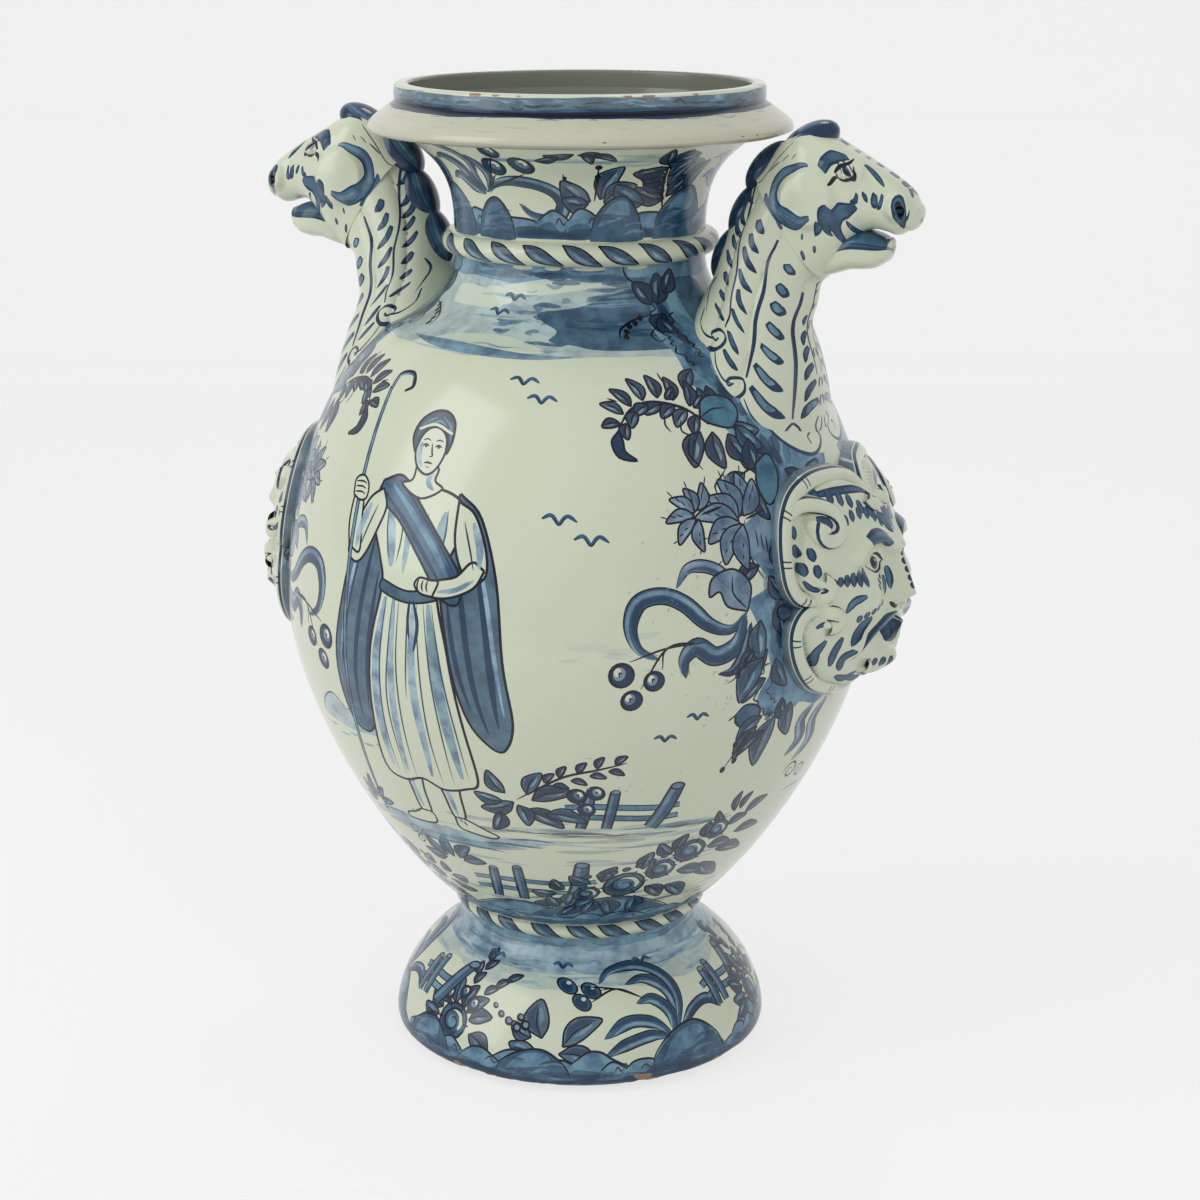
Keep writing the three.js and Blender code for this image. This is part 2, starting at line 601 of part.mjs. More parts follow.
// Rise of the face over the belly: a dome with its swellings, ridges and nose
function faceRise(across, up) {
  const x = Math.abs(across) / half(MASK_WIDTH);
  const y = up / half(MASK_HEIGHT);
  const dome = Math.sqrt(Math.max(0, 1 - x * x * 0.92 - y * y * 0.62));
  const tip = -MASK_NOSE_DROP / half(MASK_HEIGHT);
  const bridge = MASK_NOSE_RISE * mix(1, 0.35, Math.min(Math.max((y - tip) / 0.55, 0), 1));
  const end = y > tip ? hump(Math.max(y - 0.4, 0), 0, 0.08) : hump(y, tip, 0.085);
  const nose = bridge * hump(x, 0, 0.085) * end;
  const swellings = FACE_SWELLINGS.reduce((sum, { at, spread, rise }) => sum
    + rise * hump(x, at[0], spread[0]) * hump(y, at[1], spread[1]), 0);
  const ridges = FACE_RIDGES.reduce((sum, { line, spread, rise }) => sum
    + rise * hump(distanceTo(line, x, y), 0, spread), 0);
  return MASK_EDGE_RISE + MASK_FACE_RISE * dome + nose + swellings + ridges;
}

// Middle lines of the scrolls on one side of the frame: places across and up from the centre as
// shares of half the mask, each with the height of the band over the belly as a share of
// FRAME_RISE. Their ends curl into volutes.
const UPPER_SCROLL = [
  [0.19, 0.84, 2], [0.15, 0.76, 2], [0.07, 0.77, 2], [0.04, 0.88, 1.8], [0.1, 0.99, 1.5],
  [0.28, 1.06, 1.1], [0.58, 1.08, 1], [0.79, 1.04, 1], [0.95, 0.95, 1], [1.05, 0.8, 1],
  [1.09, 0.66, 1], [1.11, 0.5, 1], [1.11, 0.33, 1], [1.09, 0.17, 1], [1.02, 0.04, 1],
  [0.91, -0.01, 1.1], [0.82, 0.04, 1.2], [0.8, 0.14, 1.3], [0.87, 0.2, 1.3],
];
const TEMPLE_SCROLL = [
  [1.05, 0.8, 0.9], [0.91, 0.89, 1.2], [0.75, 0.87, 1.5], [0.62, 0.8, 1.8], [0.58, 0.67, 2],
  [0.64, 0.56, 2], [0.75, 0.54, 2], [0.82, 0.62, 2], [0.78, 0.7, 2],
];
const LOWER_SCROLL = [
  [0.84, -0.27, 1.2], [0.75, -0.28, 1.2], [0.74, -0.17, 1.2], [0.88, -0.12, 1.1],
  [1, -0.19, 1], [1.06, -0.33, 1], [1.04, -0.51, 1], [0.96, -0.7, 1], [0.81, -0.88, 1],
  [0.58, -0.99, 1], [0.4, -1.05, 1], [0.28, -1, 1.2], [0.27, -0.88, 1.4], [0.36, -0.81, 1.5],
];
const SCROLLS = [UPPER_SCROLL, TEMPLE_SCROLL, LOWER_SCROLL];
const onMask = ([across, up], side = 1) => [across * side * half(MASK_WIDTH), up * half(MASK_HEIGHT)];

// Edge of the face on one side as shares of half the mask. It runs under the middle of the
// bands, which are then cut out of it, and freely along the chin.
const FACE_EDGE = [
  [0, 0.9], [0.28, 1.06], [0.58, 1.08], [0.79, 1.04], [0.95, 0.95], [1.05, 0.8], [1.09, 0.66],
  [1.11, 0.5], [1.11, 0.33], [1.09, 0.17], [0.97, 0.02], [0.93, -0.14], [1, -0.19], [1.06, -0.33],
  [1.04, -0.51], [0.96, -0.7], [0.81, -0.88], [0.58, -0.99], [0.4, -1.05], [0.28, -1],
  [0.14, -1.02], [0, -1.04],
];

function faceEdge() {
  const right = FACE_EDGE.map((share) => onMask(share));
  const left = right.slice(1, -1).reverse().map(([across, up]) => [-across, up]);
  return [...right, ...left];
}

// Grid places of the face as shares of half the mask, closer together round eyes and mouth
const FACE_COLUMNS = [0, 0.065, 0.13, 0.22, 0.32, 0.44, 0.6, 0.8, 1.06];
const FACE_ROWS = [
  -1.12, -0.93, -0.8, -0.68, -0.57, -0.48, -0.37, -0.25, -0.16, -0.08,
  0.06, 0.2, 0.31, 0.44, 0.57, 0.78, 1.04,
];

// Block with the modelled face as its outer side and its back inside the wall of the body
function faceBlock() {
  const columns = [...FACE_COLUMNS.slice(1).reverse().map((share) => -share), ...FACE_COLUMNS];
  const corners = [];
  for (const raised of [true, false]) {
    for (const up of FACE_ROWS) {
      for (const across of columns) {
        const place = onMask([across, up]);
        corners.push(onBelly(...place, raised ? faceRise(...place) : -WALL / 2));
      }
    }
  }
  const wide = columns.length;
  const back = corners.length / 2;
  const faces = [];
  for (let j = 0; j + 1 < FACE_ROWS.length; j += 1) {
    for (let i = 0; i + 1 < wide; i += 1) {
      const [a, b, c, d] = [j * wide + i, j * wide + i + 1, (j + 1) * wide + i + 1, (j + 1) * wide + i];
      const split = i < wide / 2 - 1 ? [[a, b, d], [b, c, d]] : [[a, b, c], [a, c, d]];
      for (const [p, q, r] of split) faces.push([p, q, r], [p + back, r + back, q + back]);
    }
  }
  const rim = [];
  for (let i = 0; i < wide; i += 1) rim.push(i);
  for (let j = 1; j < FACE_ROWS.length; j += 1) rim.push(j * wide + wide - 1);
  for (let i = wide - 2; i >= 0; i -= 1) rim.push((FACE_ROWS.length - 1) * wide + i);
  for (let j = FACE_ROWS.length - 2; j > 0; j -= 1) rim.push(j * wide);
  rim.forEach((a, k) => {
    const b = rim[(k + 1) % rim.length];
    faces.push([a, a + back, b + back], [a, b + back, b]);
  });
  return meshGeometry(corners, faces);
}

// Straight prism through the outline of the face, along the radius
function facePrism() {
  const outline = new THREE.Shape(faceEdge().map((place) => new THREE.Vector2(...place)));
  const depth = MASK_FACE_RISE + MASK_NOSE_RISE + BELLY_RADIUS;
  const prism = new THREE.ExtrudeGeometry(outline, { depth, bevelEnabled: false, steps: 1 });
  prism.applyMatrix4(new THREE.Matrix4().makeBasis(
    new THREE.Vector3(0, 1, 0),
    new THREE.Vector3(0, 0, 1),
    new THREE.Vector3(1, 0, 0),
  ));
  return solidGeometry(prism.translate(half(BELLY_RADIUS), 0, Z_MASK));
}

function maskFace() {
  const solid = toSolid(faceBlock()).intersect(toSolid(facePrism()));
  return largest(combine(fromSolid(solid), { cut: [...frameClearance(), BODY_CUTTER] }));
}

// How far the lines square to a path at two of its places run before they meet on one side
function meetingReach(from, to, side) {
  const turn = Math.atan2(from.along.cross(to.along), from.along.dot(to.along));
  const chord = from.middle.distanceTo(to.middle);
  return Math.sign(turn) === side ? chord / (2 * Math.tan(Math.abs(turn) / 2)) : Infinity;
}

// One scroll of the frame, swept over the belly with a section of offsets and rises. What
// stands over the belly in the section is lifted with the band, and the inner edge of a tight
// curl stays short of the centre of the curl, all but the gap.
function frameBand(scroll, side, section, gap) {
  const path = new THREE.CatmullRomCurve3(scroll.map(([across, up, lift]) =>
    new THREE.Vector3(...onMask([across, up], side), lift * FRAME_RISE)));
  const steps = Math.round((scroll.length - 1) * BAND_DETAIL);
  const flat = ({ x, y }) => new THREE.Vector2(x, y);
  const places = Array.from({ length: steps + 1 }, (_, k) => ({
    middle: flat(path.getPoint(k / steps)),
    along: flat(path.getTangent(k / steps)).normalize(),
    lift: path.getPoint(k / steps).z - FRAME_RISE,
  }));
  return loft(places.map(({ middle, along, lift }, k) => section.map(([reach, rise]) => {
    const inner = Math.sign(reach);
    const room = Math.min(
      k > 0 ? meetingReach(places[k - 1], places[k], inner) : Infinity,
      k < steps ? meetingReach(places[k], places[k + 1], inner) : Infinity,
    );
    const off = inner * Math.min(Math.abs(reach), room * CURL_FILL + gap);
    return onBelly(middle.x - along.y * off, middle.y + along.x * off, rise > 0 ? rise + lift : rise);
  })));
}

const frameBands = (section, gap) => SCROLLS
  .flatMap((scroll) => [1, -1].map((side) => frameBand(scroll, side, section, gap)));

function maskFrame() {
  const halfRound = Array.from({ length: BAND_SIDES }, (_, i) => {
    const turn = Math.PI * (i / (BAND_SIDES - 1));
    return [half(FRAME_BAND) * Math.cos(turn), (FRAME_RISE + 1) * Math.sin(turn) - 1];
  });
  const [first, ...others] = frameBands(halfRound, 0);
  return combine(first, { add: others, cut: [BODY_CUTTER] });
}

// Room for the frame in the face, with the joint gap on both sides of each band
function frameClearance() {
  const wide = half(FRAME_BAND) + JOINT_GAP;
  const high = MASK_FACE_RISE + MASK_NOSE_RISE;
  return frameBands([[wide, -WALL], [wide, high], [-wide, high], [-wide, -WALL]], JOINT_GAP);
}

const BODY_CUTTER = bodyCutter();

// Assembly
const jar = new THREE.Group();

function place(name, geometry, material, parent = jar) {
  const mesh = new THREE.Mesh(geometry, material);
  mesh.name = name;
  parent.add(mesh);
}

place('foot', foot(), BLUE_WASH);
place('foot_cordon', footCordon(), GLAZE);
place('lower_belly', lowerBelly(), GLAZE);
place('upper_belly', upperBelly(), GLAZE);
place('shoulder', shoulder(), BLUE_WASH);
place('neck_cordon', neckCordon(), GLAZE);
place('mouth', mouth(), GLAZE);
place('lip_flange', lipFlange(), LIP_CREAM);
place('rim_collar', rimCollar(), BLUE_WASH);

const neck = handleNeck();
const head = horseHead();
for (const [side, turn] of [['right', 0], ['left', Math.PI]]) {
  const handle = new THREE.Group();
  handle.rotation.z = turn;
  jar.add(handle);
  place(`${side}_handle_neck`, neck, GLAZE, handle);
  place(`${side}_horse_head`, head, GLAZE, handle);
  place(`${side}_lower_jaw`, lowerJaw(), GLAZE, handle);
  place(`${side}_mane`, mane(neck, head), DEEP_BLUE, handle);
  place(`${side}_mask_face`, maskFace(), GLAZE, handle);
  place(`${side}_mask_frame`, maskFrame(), GLAZE, handle);
}

export default jar;
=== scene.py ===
import math
import random

import bpy
import numpy as np
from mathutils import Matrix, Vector
from mathutils.geometry import delaunay_2d_cdt


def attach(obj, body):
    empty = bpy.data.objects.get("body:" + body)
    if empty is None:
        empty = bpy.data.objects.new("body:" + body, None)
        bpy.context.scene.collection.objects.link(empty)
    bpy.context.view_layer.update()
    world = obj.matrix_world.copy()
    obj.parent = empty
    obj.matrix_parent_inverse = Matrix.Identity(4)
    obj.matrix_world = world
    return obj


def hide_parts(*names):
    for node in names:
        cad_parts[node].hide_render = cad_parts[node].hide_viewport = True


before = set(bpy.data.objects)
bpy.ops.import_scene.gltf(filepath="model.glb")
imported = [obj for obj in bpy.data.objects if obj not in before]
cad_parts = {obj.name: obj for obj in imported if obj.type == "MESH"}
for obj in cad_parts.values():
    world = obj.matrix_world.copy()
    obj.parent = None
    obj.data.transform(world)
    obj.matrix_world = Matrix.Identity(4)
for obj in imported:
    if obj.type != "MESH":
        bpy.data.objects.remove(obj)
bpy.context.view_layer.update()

# Sizes in millimetres, the same as in the drawing of the part
MM = 0.001
WALL = 8
FLOOR_THICKNESS = 10
Z_FOOT_TOP, Z_BELLY_BASE, Z_GIRTH, Z_SHOULDER = 71, 83, 260, 411
Z_NECK, Z_MOUTH, Z_LIP, Z_RIM, Z_TOP = 449.5, 462.5, 514, 530.5, 540
FOOT_RADIUS, FOOT_EDGE_HEIGHT, FOOT_EDGE_ROUNDING, FOOT_RING_BORE = 108, 6, 4, 99
FOOT_STEP_RADIUS, FOOT_STEP_HEIGHT, FOOT_WAIST_RADIUS = 83, 49, 64
FOOT_CORDON_RADIUS, FOOT_CORDON_BORE = 73, 48
BELLY_BASE_RADIUS, BELLY_RADIUS, SHOULDER_RADIUS = 75.5, 164.5, 102.5
NECK_RADIUS, NECK_CORDON_RADIUS, NECK_BORE = 68.5, 76, 60.5
MOUTH_TOP_RADIUS, LIP_EDGE_RADIUS, LIP_EDGE_HEIGHT = 97, 112.5, 7.6
RIM_RADIUS, RIM_BORE, RIM_ROUNDING = 100, 92, 1.5

# Turns round the axis are in degrees from +X; the seam of the painting lies at the back
SEAM_TURN = -270
SHEET_RADIUS = 150
SHEET_WIDTH = 2 * math.pi * SHEET_RADIUS
# Spacing of the grids under the painting
GRID, NECK_GRID, HEAD_GRID, JAW_GRID, MANE_GRID = 4.5, 1.6, 1.2, 1.4, 2.0
FACE_GRID, STRAP_GRID, BUTTON_GRID = 1.3, 1.0, 1.2
SIDE_REACH = 1.8    # longest side of a stroke, in spaces of the grid
MERGED = 1e-3    # points closer than this become one
SLIVER = 1e-6    # square millimetres; flatter triangles lie along a border


def shade(text):
    """Linear colour from a six-digit web colour."""
    values = [int(text[i:i + 2], 16) / 255 for i in (0, 2, 4)]
    return tuple(v / 12.92 if v <= 0.04045 else ((v + 0.055) / 1.055) ** 2.4 for v in values)


CREAM = shade("d1d7bd")
PALE = shade("9db9c6")
WASH = shade("7097aa")
HAZE = shade("7c92a5")
SLATE = shade("40657d")
DEEP = shade("193552")
INK = shade("080f20")
TEAL = shade("47788c")
CLAY = shade("98775a")
PEN = 1.45    # how much wider an ink line is laid than its width says
RNG = random.Random(11)    # every loose stroke is drawn from it, in the order of the script


# Curves
def bow(start, leave, leave_pull, end, arrive, arrive_pull, steps=24):
    """Cubic curve that leaves and arrives at given angles, with pulls as shares of its chord."""
    start, end = np.array(start, float), np.array(end, float)
    chord = np.hypot(*(end - start))
    a = start + chord * leave_pull * np.array([math.cos(math.radians(leave)), math.sin(math.radians(leave))])
    b = end - chord * arrive_pull * np.array([math.cos(math.radians(arrive)), math.sin(math.radians(arrive))])
    t = np.linspace(0, 1, steps + 1)[:, None]
    return (1 - t) ** 3 * start + 3 * (1 - t) ** 2 * t * a + 3 * (1 - t) * t * t * b + t ** 3 * end


def cordon(radius, seat, low, high, steps=12):
    """Half-round outline of a cordon, from its lower edge to its upper one."""
    turn = np.linspace(-math.pi / 2, math.pi / 2, steps + 1)
    return np.stack([seat + (radius - seat) * np.cos(turn),
                     (low + high) / 2 + (high - low) / 2 * np.sin(turn)], 1)


# Outer line of each turned piece, from the bottom up
OUTLINES = {
    "foot": np.vstack([
        bow((FOOT_RADIUS - FOOT_EDGE_ROUNDING, 0), 0, 0.55, (FOOT_RADIUS, FOOT_EDGE_HEIGHT), 90, 0.55, 8),
        bow((FOOT_RADIUS, FOOT_EDGE_HEIGHT), 95, 0.3, (FOOT_STEP_RADIUS, FOOT_STEP_HEIGHT), 145, 0.3, 30)[1:],
        bow((FOOT_STEP_RADIUS, FOOT_STEP_HEIGHT), 145, 0.35, (FOOT_WAIST_RADIUS, Z_FOOT_TOP), 90, 0.35,
            20)[1:],
    ]),
    "foot_cordon": cordon(FOOT_CORDON_RADIUS, FOOT_WAIST_RADIUS, Z_FOOT_TOP, Z_BELLY_BASE),
    "lower_belly": bow((BELLY_BASE_RADIUS, Z_BELLY_BASE), 40.7, 0.26, (BELLY_RADIUS, Z_GIRTH), 90, 0.29, 60),
    "upper_belly": bow((BELLY_RADIUS, Z_GIRTH), 90, 0.306, (SHOULDER_RADIUS, Z_SHOULDER), 146.7, 0.32, 60),
    "shoulder": bow((SHOULDER_RADIUS, Z_SHOULDER), 160, 0.35, (NECK_RADIUS, Z_NECK), 90, 0.4, 30),
    "neck_cordon": cordon(NECK_CORDON_RADIUS, NECK_RADIUS, Z_NECK, Z_MOUTH),
    "mouth": bow((NECK_RADIUS, Z_MOUTH), 90, 0.5, (MOUTH_TOP_RADIUS, Z_LIP), 35, 0.4, 30),
    "lip_flange": np.vstack([
        [[MOUTH_TOP_RADIUS, Z_LIP]],
        bow((LIP_EDGE_RADIUS - 2, Z_LIP), 0, 0.5, (LIP_EDGE_RADIUS, Z_LIP + LIP_EDGE_HEIGHT), 140, 0.9, 12),
        [[RIM_RADIUS, Z_RIM]],
    ]),
    "rim_collar": np.array([
        [RIM_RADIUS, Z_RIM], [RIM_RADIUS, Z_TOP - RIM_ROUNDING], [RIM_RADIUS - 0.4, Z_TOP - 0.4],
        [RIM_RADIUS - RIM_ROUNDING, Z_TOP], [RIM_BORE + RIM_ROUNDING, Z_TOP],
    ]),
}


def length_along(line):
    """Run along a line in a plane, at each of its points."""
    return np.concatenate([[0], np.cumsum(np.hypot(*np.diff(line, axis=0).T))])


def places_at(spots, run, line):
    """Places on a line, found by their run along it."""
    return np.stack([np.interp(spots, run, column) for column in np.asarray(line).T], -1)


def directions(line):
    """Unit vectors along a line in a plane, at each of its points."""
    along = np.gradient(line, axis=0)
    return along / np.maximum(np.hypot(*along.T), 1e-9)[:, None]


def leftward(line):
    """Unit vectors to the left of a line in a plane, at each of its points."""
    along = directions(line)
    return np.stack([-along[:, 1], along[:, 0]], 1)


def eased(share):
    """Share from 0 to 1 that starts and ends softly."""
    return share * share * (3 - 2 * share)


def smoothed(line, step=0.5, reach=2):
    """Line with evenly spaced points and softened corners."""
    run = length_along(line)
    count = max(int(run[-1] / step), 8)
    points = places_at(np.linspace(0, run[-1], count + 1), run, line)
    weights = np.exp(-np.linspace(-2, 2, 2 * reach + 1) ** 2)
    weights /= weights.sum()
    soft = points.copy()
    for i in range(1, count):
        near = np.clip(np.arange(i - reach, i + reach + 1), 0, count)
        soft[i] = weights @ points[near]
    return soft


class Wall:
    """The outer wall of the jar as one flat sheet: turns across, run of the outline up."""

    def __init__(self):
        self.spans = {}
        lines = []
        run = 0
        for name, line in OUTLINES.items():
            soft = smoothed(line)
            along = run + length_along(soft)
            self.spans[name] = (along, soft)
            lines.append((along, soft))
            run = along[-1]
        self.run = np.concatenate([a for a, _ in lines])
        self.points = np.vstack([p for _, p in lines])
        self.strokes = []

    def run_at(self, height):
        """Run of the outline at a height, on the walls that face outward."""
        order = np.argsort(self.points[:, 1], kind="stable")
        return float(np.interp(height, self.points[order, 1], self.run[order]))

    def radius_at_run(self, run):
        return np.interp(run, self.run, self.points[:, 0])

    def lay(self, turn, height, xy):
        """Places in millimetres round a spot on the wall, as places on the sheet."""
        xy = np.asarray(xy, float)
        run = self.run_at(height) + xy[:, 1]
        turns = math.radians(turn - SEAM_TURN) % (2 * math.pi) + xy[:, 0] / self.radius_at_run(run)
        return np.stack([turns * SHEET_RADIUS, run], 1)


WALL_SHEET = Wall()


# Brush work
def spline(points, steps=6):
    """Smooth line through points."""
    points = np.asarray(points, float)
    if len(points) < 3:
        return np.stack([np.linspace(points[0, k], points[-1, k], steps + 1) for k in (0, 1)], 1)
    padded = np.vstack([2 * points[0] - points[1], points, 2 * points[-1] - points[-2]])
    out = []
    for i in range(1, len(padded) - 2):
        p0, p1, p2, p3 = padded[i - 1:i + 3]
        for t in np.arange(steps) / steps:
            out.append(0.5 * (2 * p1 + (p2 - p0) * t + (2 * p0 - 5 * p1 + 4 * p2 - p3) * t * t
                              + (3 * p1 - p0 - 3 * p2 + p3) * t ** 3))
    out.append(points[-1])
    return np.array(out)


def ribbon(points, width, taper=(0.15, 0.15), steps=6):
    """Outline of a brush line: full in the middle, thinner toward both ends."""
    line = spline(points, steps)
    run = length_along(line)
    share = run / max(run[-1], 1e-6)
    swell = np.ones(len(line))
    for side, end in ((share, taper[0]), (1 - share, taper[1])):
        swell *= end + (1 - end) * np.clip(side * 3.2, 0, 1) ** 0.7
    across = leftward(line) * (swell * width / 2)[:, None]
    return np.vstack([line + across, (line - across)[::-1]])


def turned_by(points, angle, x=0.0, y=0.0, size=1.0):
    """Points scaled, turned by an angle in degrees and moved to a place."""
    points = np.asarray(points, float) * size
    c, s = math.cos(math.radians(angle)), math.sin(math.radians(angle))
    return np.stack([x + points[:, 0] * c - points[:, 1] * s, y + points[:, 0] * s + points[:, 1] * c], 1)


def oval(x, y, rx, ry=None, angle=0, count=16):
    """Closed oval about a place."""
    ry = rx if ry is None else ry
    t = np.linspace(0, 2 * math.pi, count, endpoint=False)
    return turned_by(np.stack([rx * np.cos(t), ry * np.sin(t)], 1), angle, x, y)


class Brush:
    """Draws round one spot of a sheet; each mark is a polygon with a colour and a strength."""

    def __init__(self, lay, marks, angle=0, size=1.0, flip=False):
        self.lay, self.marks = lay, marks
        self.angle, self.size, self.flip = angle, size, flip

    def mark(self, polygon, colour, strength=1.0):
        polygon = np.asarray(polygon, float)
        if self.flip:
            polygon = polygon * (-1, 1)
        placed = turned_by(polygon, self.angle, size=self.size)
        self.marks.append((self.lay(placed), (*colour, strength)))

    def line(self, points, width, colour=INK, strength=1.0, taper=(0.3, 0.3), steps=6):
        width *= PEN if colour is INK and width < 2 else 1
        self.mark(ribbon(points, width, taper, steps), colour, strength)

    def closed(self, points, colour, strength=1.0, edge=None, edge_width=0.7, steps=4):
        """Filled form with a drawn edge."""
        loop = spline(list(points) + [points[0]], steps)[:-1]
        self.mark(loop, colour, strength)
        if edge is not None:
            self.line(list(points) + [points[0]], edge_width, edge, taper=(1, 1), steps=steps)


def on_wall(turn, height, angle=0, size=1.0, flip=False):
    """Brush that paints the jar's wall from a turn and a height."""
    return Brush(lambda xy: WALL_SHEET.lay(turn, height, xy), WALL_SHEET.strokes, angle, size, flip)


# Painted motifs, in millimetres round their own spot
def bird(brush, size=6):
    """Bird in flight, three short strokes."""
    brush.line([(-size, 0.35 * size), (-size * 0.45, size * 0.55), (0, 0)], 2.1, SLATE, 1.0, (0.5, 0.7))
    brush.line([(0, 0), (size * 0.5, size * 0.5), (size * 1.1, size * 0.15)], 2.1, SLATE, 1.0, (0.7, 0.3))
    brush.line([(-size * 0.4, size * 0.5), (0, -0.2), (size * 0.4, size * 0.4)], 1.0, DEEP)


def berry(brush, x, y, r):
    """Round berry: a dark edge, a paler ring and a deep middle."""
    brush.mark(oval(x, y, r), INK)
    brush.mark(oval(x, y, r * 0.84), SLATE)
    brush.mark(oval(x - r * 0.1, y - r * 0.1, r * 0.6), DEEP, 0.8)
    brush.mark(oval(x + r * 0.3, y + r * 0.35, r * 0.28, r * 0.2, 30, 8), CREAM, 0.9)


def leaf(brush, x, y, angle, length, width, tone=SLATE, strength=0.95, vein=True, bend=0.12):
    """Pointed leaf with an ink edge, a dark half, a light touch and a vein."""
    def placed(places):
        bent = [(px * length, py * width + math.sin(px * math.pi) * bend * length) for px, py in places]
        return turned_by(bent, angle, x, y)

    brush.closed(placed([(0, 0), (0.25, 0.42), (0.6, 0.46), (1, 0), (0.65, -0.42), (0.28, -0.4)]), tone,
                 strength, INK, 0.75)
    shaded, how_much = (SLATE, 0.35) if tone is HAZE else (DEEP, 0.7)
    brush.mark(placed([(0.04, 0), (0.3, 0.36), (0.62, 0.38), (0.9, 0.04), (0.5, 0.06)]), shaded, how_much)
    brush.mark(placed([(0.3, -0.08), (0.45, -0.27), (0.68, -0.24), (0.8, -0.04)]), PALE, 0.6)
    if vein:
        brush.line(placed([(0.05, 0), (0.4, 0), (0.8, 0)]), 0.65, INK)


def by_angle(first, second, step=10):
    """Rule for leaves that picks one of two colours from their angle."""
    return lambda angle: (first, second)[int(angle / step) % 2]


def leaves(brush, rows, tone=SLATE, width=None, grow=1, vein=True):
    """Leaves from rows of place, angle, length and, where they differ in it, width."""
    for x, y, angle, length, *own in rows:
        colour = tone(angle) if callable(tone) else tone
        leaf(brush, x, y, angle, length * grow, own[0] if own else width, colour, vein=vein)


def blade(brush, points, width, tone=SLATE):
    """Long ribbon leaf with a dark edge, a filled half and a light half."""
    brush.line(points, width + 0.7, INK, 1.0, (0.08, 0.04), 7)
    brush.line(points, width - 1.0, tone, 1.0, (0.08, 0.02), 7)
    line = spline(points, 7)
    side = leftward(line) * width * 0.2
    brush.mark(ribbon((line + side)[1:-1][::3], width * 0.26, (0.1, 0.1), 3), PALE, 0.65)
    brush.mark(ribbon((line - side)[1:-1][::3], width * 0.34, (0.1, 0.1), 3), DEEP, 0.75)


def rocks(brush, left, right, low, heights, tone=WASH):
    """Heap of rounded rocks: pale tops, dark feet and loose ink edges."""
    x = left
    while x < right:
        wide = RNG.uniform(1.2, 2.6) * heights
        tall = heights * RNG.uniform(0.6, 1.0)
        shape = [(0, 0), (wide * RNG.uniform(0.02, 0.1), tall * 0.6),
                 (wide * RNG.uniform(0.2, 0.3), tall * RNG.uniform(0.86, 1)), (wide * 0.5, tall),
                 (wide * RNG.uniform(0.68, 0.8), tall * RNG.uniform(0.7, 0.9)),
                 (wide * RNG.uniform(0.94, 1.02), tall * 0.42), (wide * 1.04, 0)]
        shape = [(x + px, low + py) for px, py in shape]
        brush.mark(spline(shape, 4), tone, 1.0)
        brush.mark(spline([shape[0], (x + wide * 0.08, low + tall * 0.42),
                           (x + wide * 0.4, low + tall * RNG.uniform(0.3, 0.6)),
                           (x + wide * 0.66, low + tall * RNG.uniform(0.2, 0.4)),
                           (x + wide * 0.93, low + tall * 0.6), shape[-1]], 4), SLATE, 0.95)
        brush.line(shape[1:6], 0.85, INK, 1.0, (0.5, 0.4))
        if RNG.random() < 0.75:
            k = x + wide * RNG.uniform(0.3, 0.55)
            brush.line([(k, low + tall * 0.5), (k + wide * 0.1, low + tall * 0.72),
                        (k + wide * 0.2, low + tall * 0.5), (k + wide * 0.28, low + tall * 0.62)], 0.65,
                       INK, 0.95)
        x += wide * RNG.uniform(0.62, 0.85)
    x = left
    while x < right:
        run = RNG.uniform(16, 40)
        brush.line([(x, low + RNG.uniform(-1, 3)), (x + run / 2, low + RNG.uniform(0, heights * 0.3)),
                    (x + run, low + RNG.uniform(-1, 3))], heights * RNG.uniform(0.12, 0.32), DEEP,
                   RNG.uniform(0.6, 0.9), (0.1, 0.1))
        x += run * RNG.uniform(0.25, 0.6)


def fence(brush, length, tall, lean=0):
    """Rustic fence: two rails and a few leaning posts."""
    for y in (0.32, 0.68):
        rail = [(-length / 2, y * tall), (-length / 4, y * tall + 1), (length / 4, y * tall - 1),
                (length / 2, y * tall)]
        brush.line(rail, 4.6, INK, 1.0, (0.9, 0.9), 4)
        brush.line(rail, 3.0, WASH, 1.0, (0.9, 0.9), 4)
    for k, x in enumerate((-0.34, -0.12, 0.26)):
        slant = (3, 2, 12)[k] + lean
        post = [(x * length, -1), (x * length + slant * 0.5, tall * 0.5),
                (x * length + slant, tall * (1.1 + 0.1 * k))]
        wide = (4.4, 4.4, 7)[k]
        brush.line(post, wide + 2.2, INK, 1.0, (0.9, 0.9), 4)
        brush.line(post, wide, SLATE, 1.0, (0.9, 0.9), 4)
        brush.line([(px - wide * 0.22, py) for px, py in post], wide * 0.35, HAZE, 0.9, (0.9, 0.9), 4)
        brush.mark(oval(post[2][0], post[2][1], wide * 0.62, wide * 0.42), INK)
        brush.mark(oval(post[2][0], post[2][1], wide * 0.46, wide * 0.26), HAZE)


def scroll(brush, x, y, r, way=1, width=1.1, tone=INK, rounds=1.4):
    """Spiral line that winds inward."""
    t = np.linspace(0, 1, 12)
    a = way * t * rounds * 2 * math.pi
    brush.line(np.stack([x + r * (1 - 0.82 * t) * np.cos(a), y + r * (1 - 0.82 * t) * np.sin(a)], 1), width,
               tone)


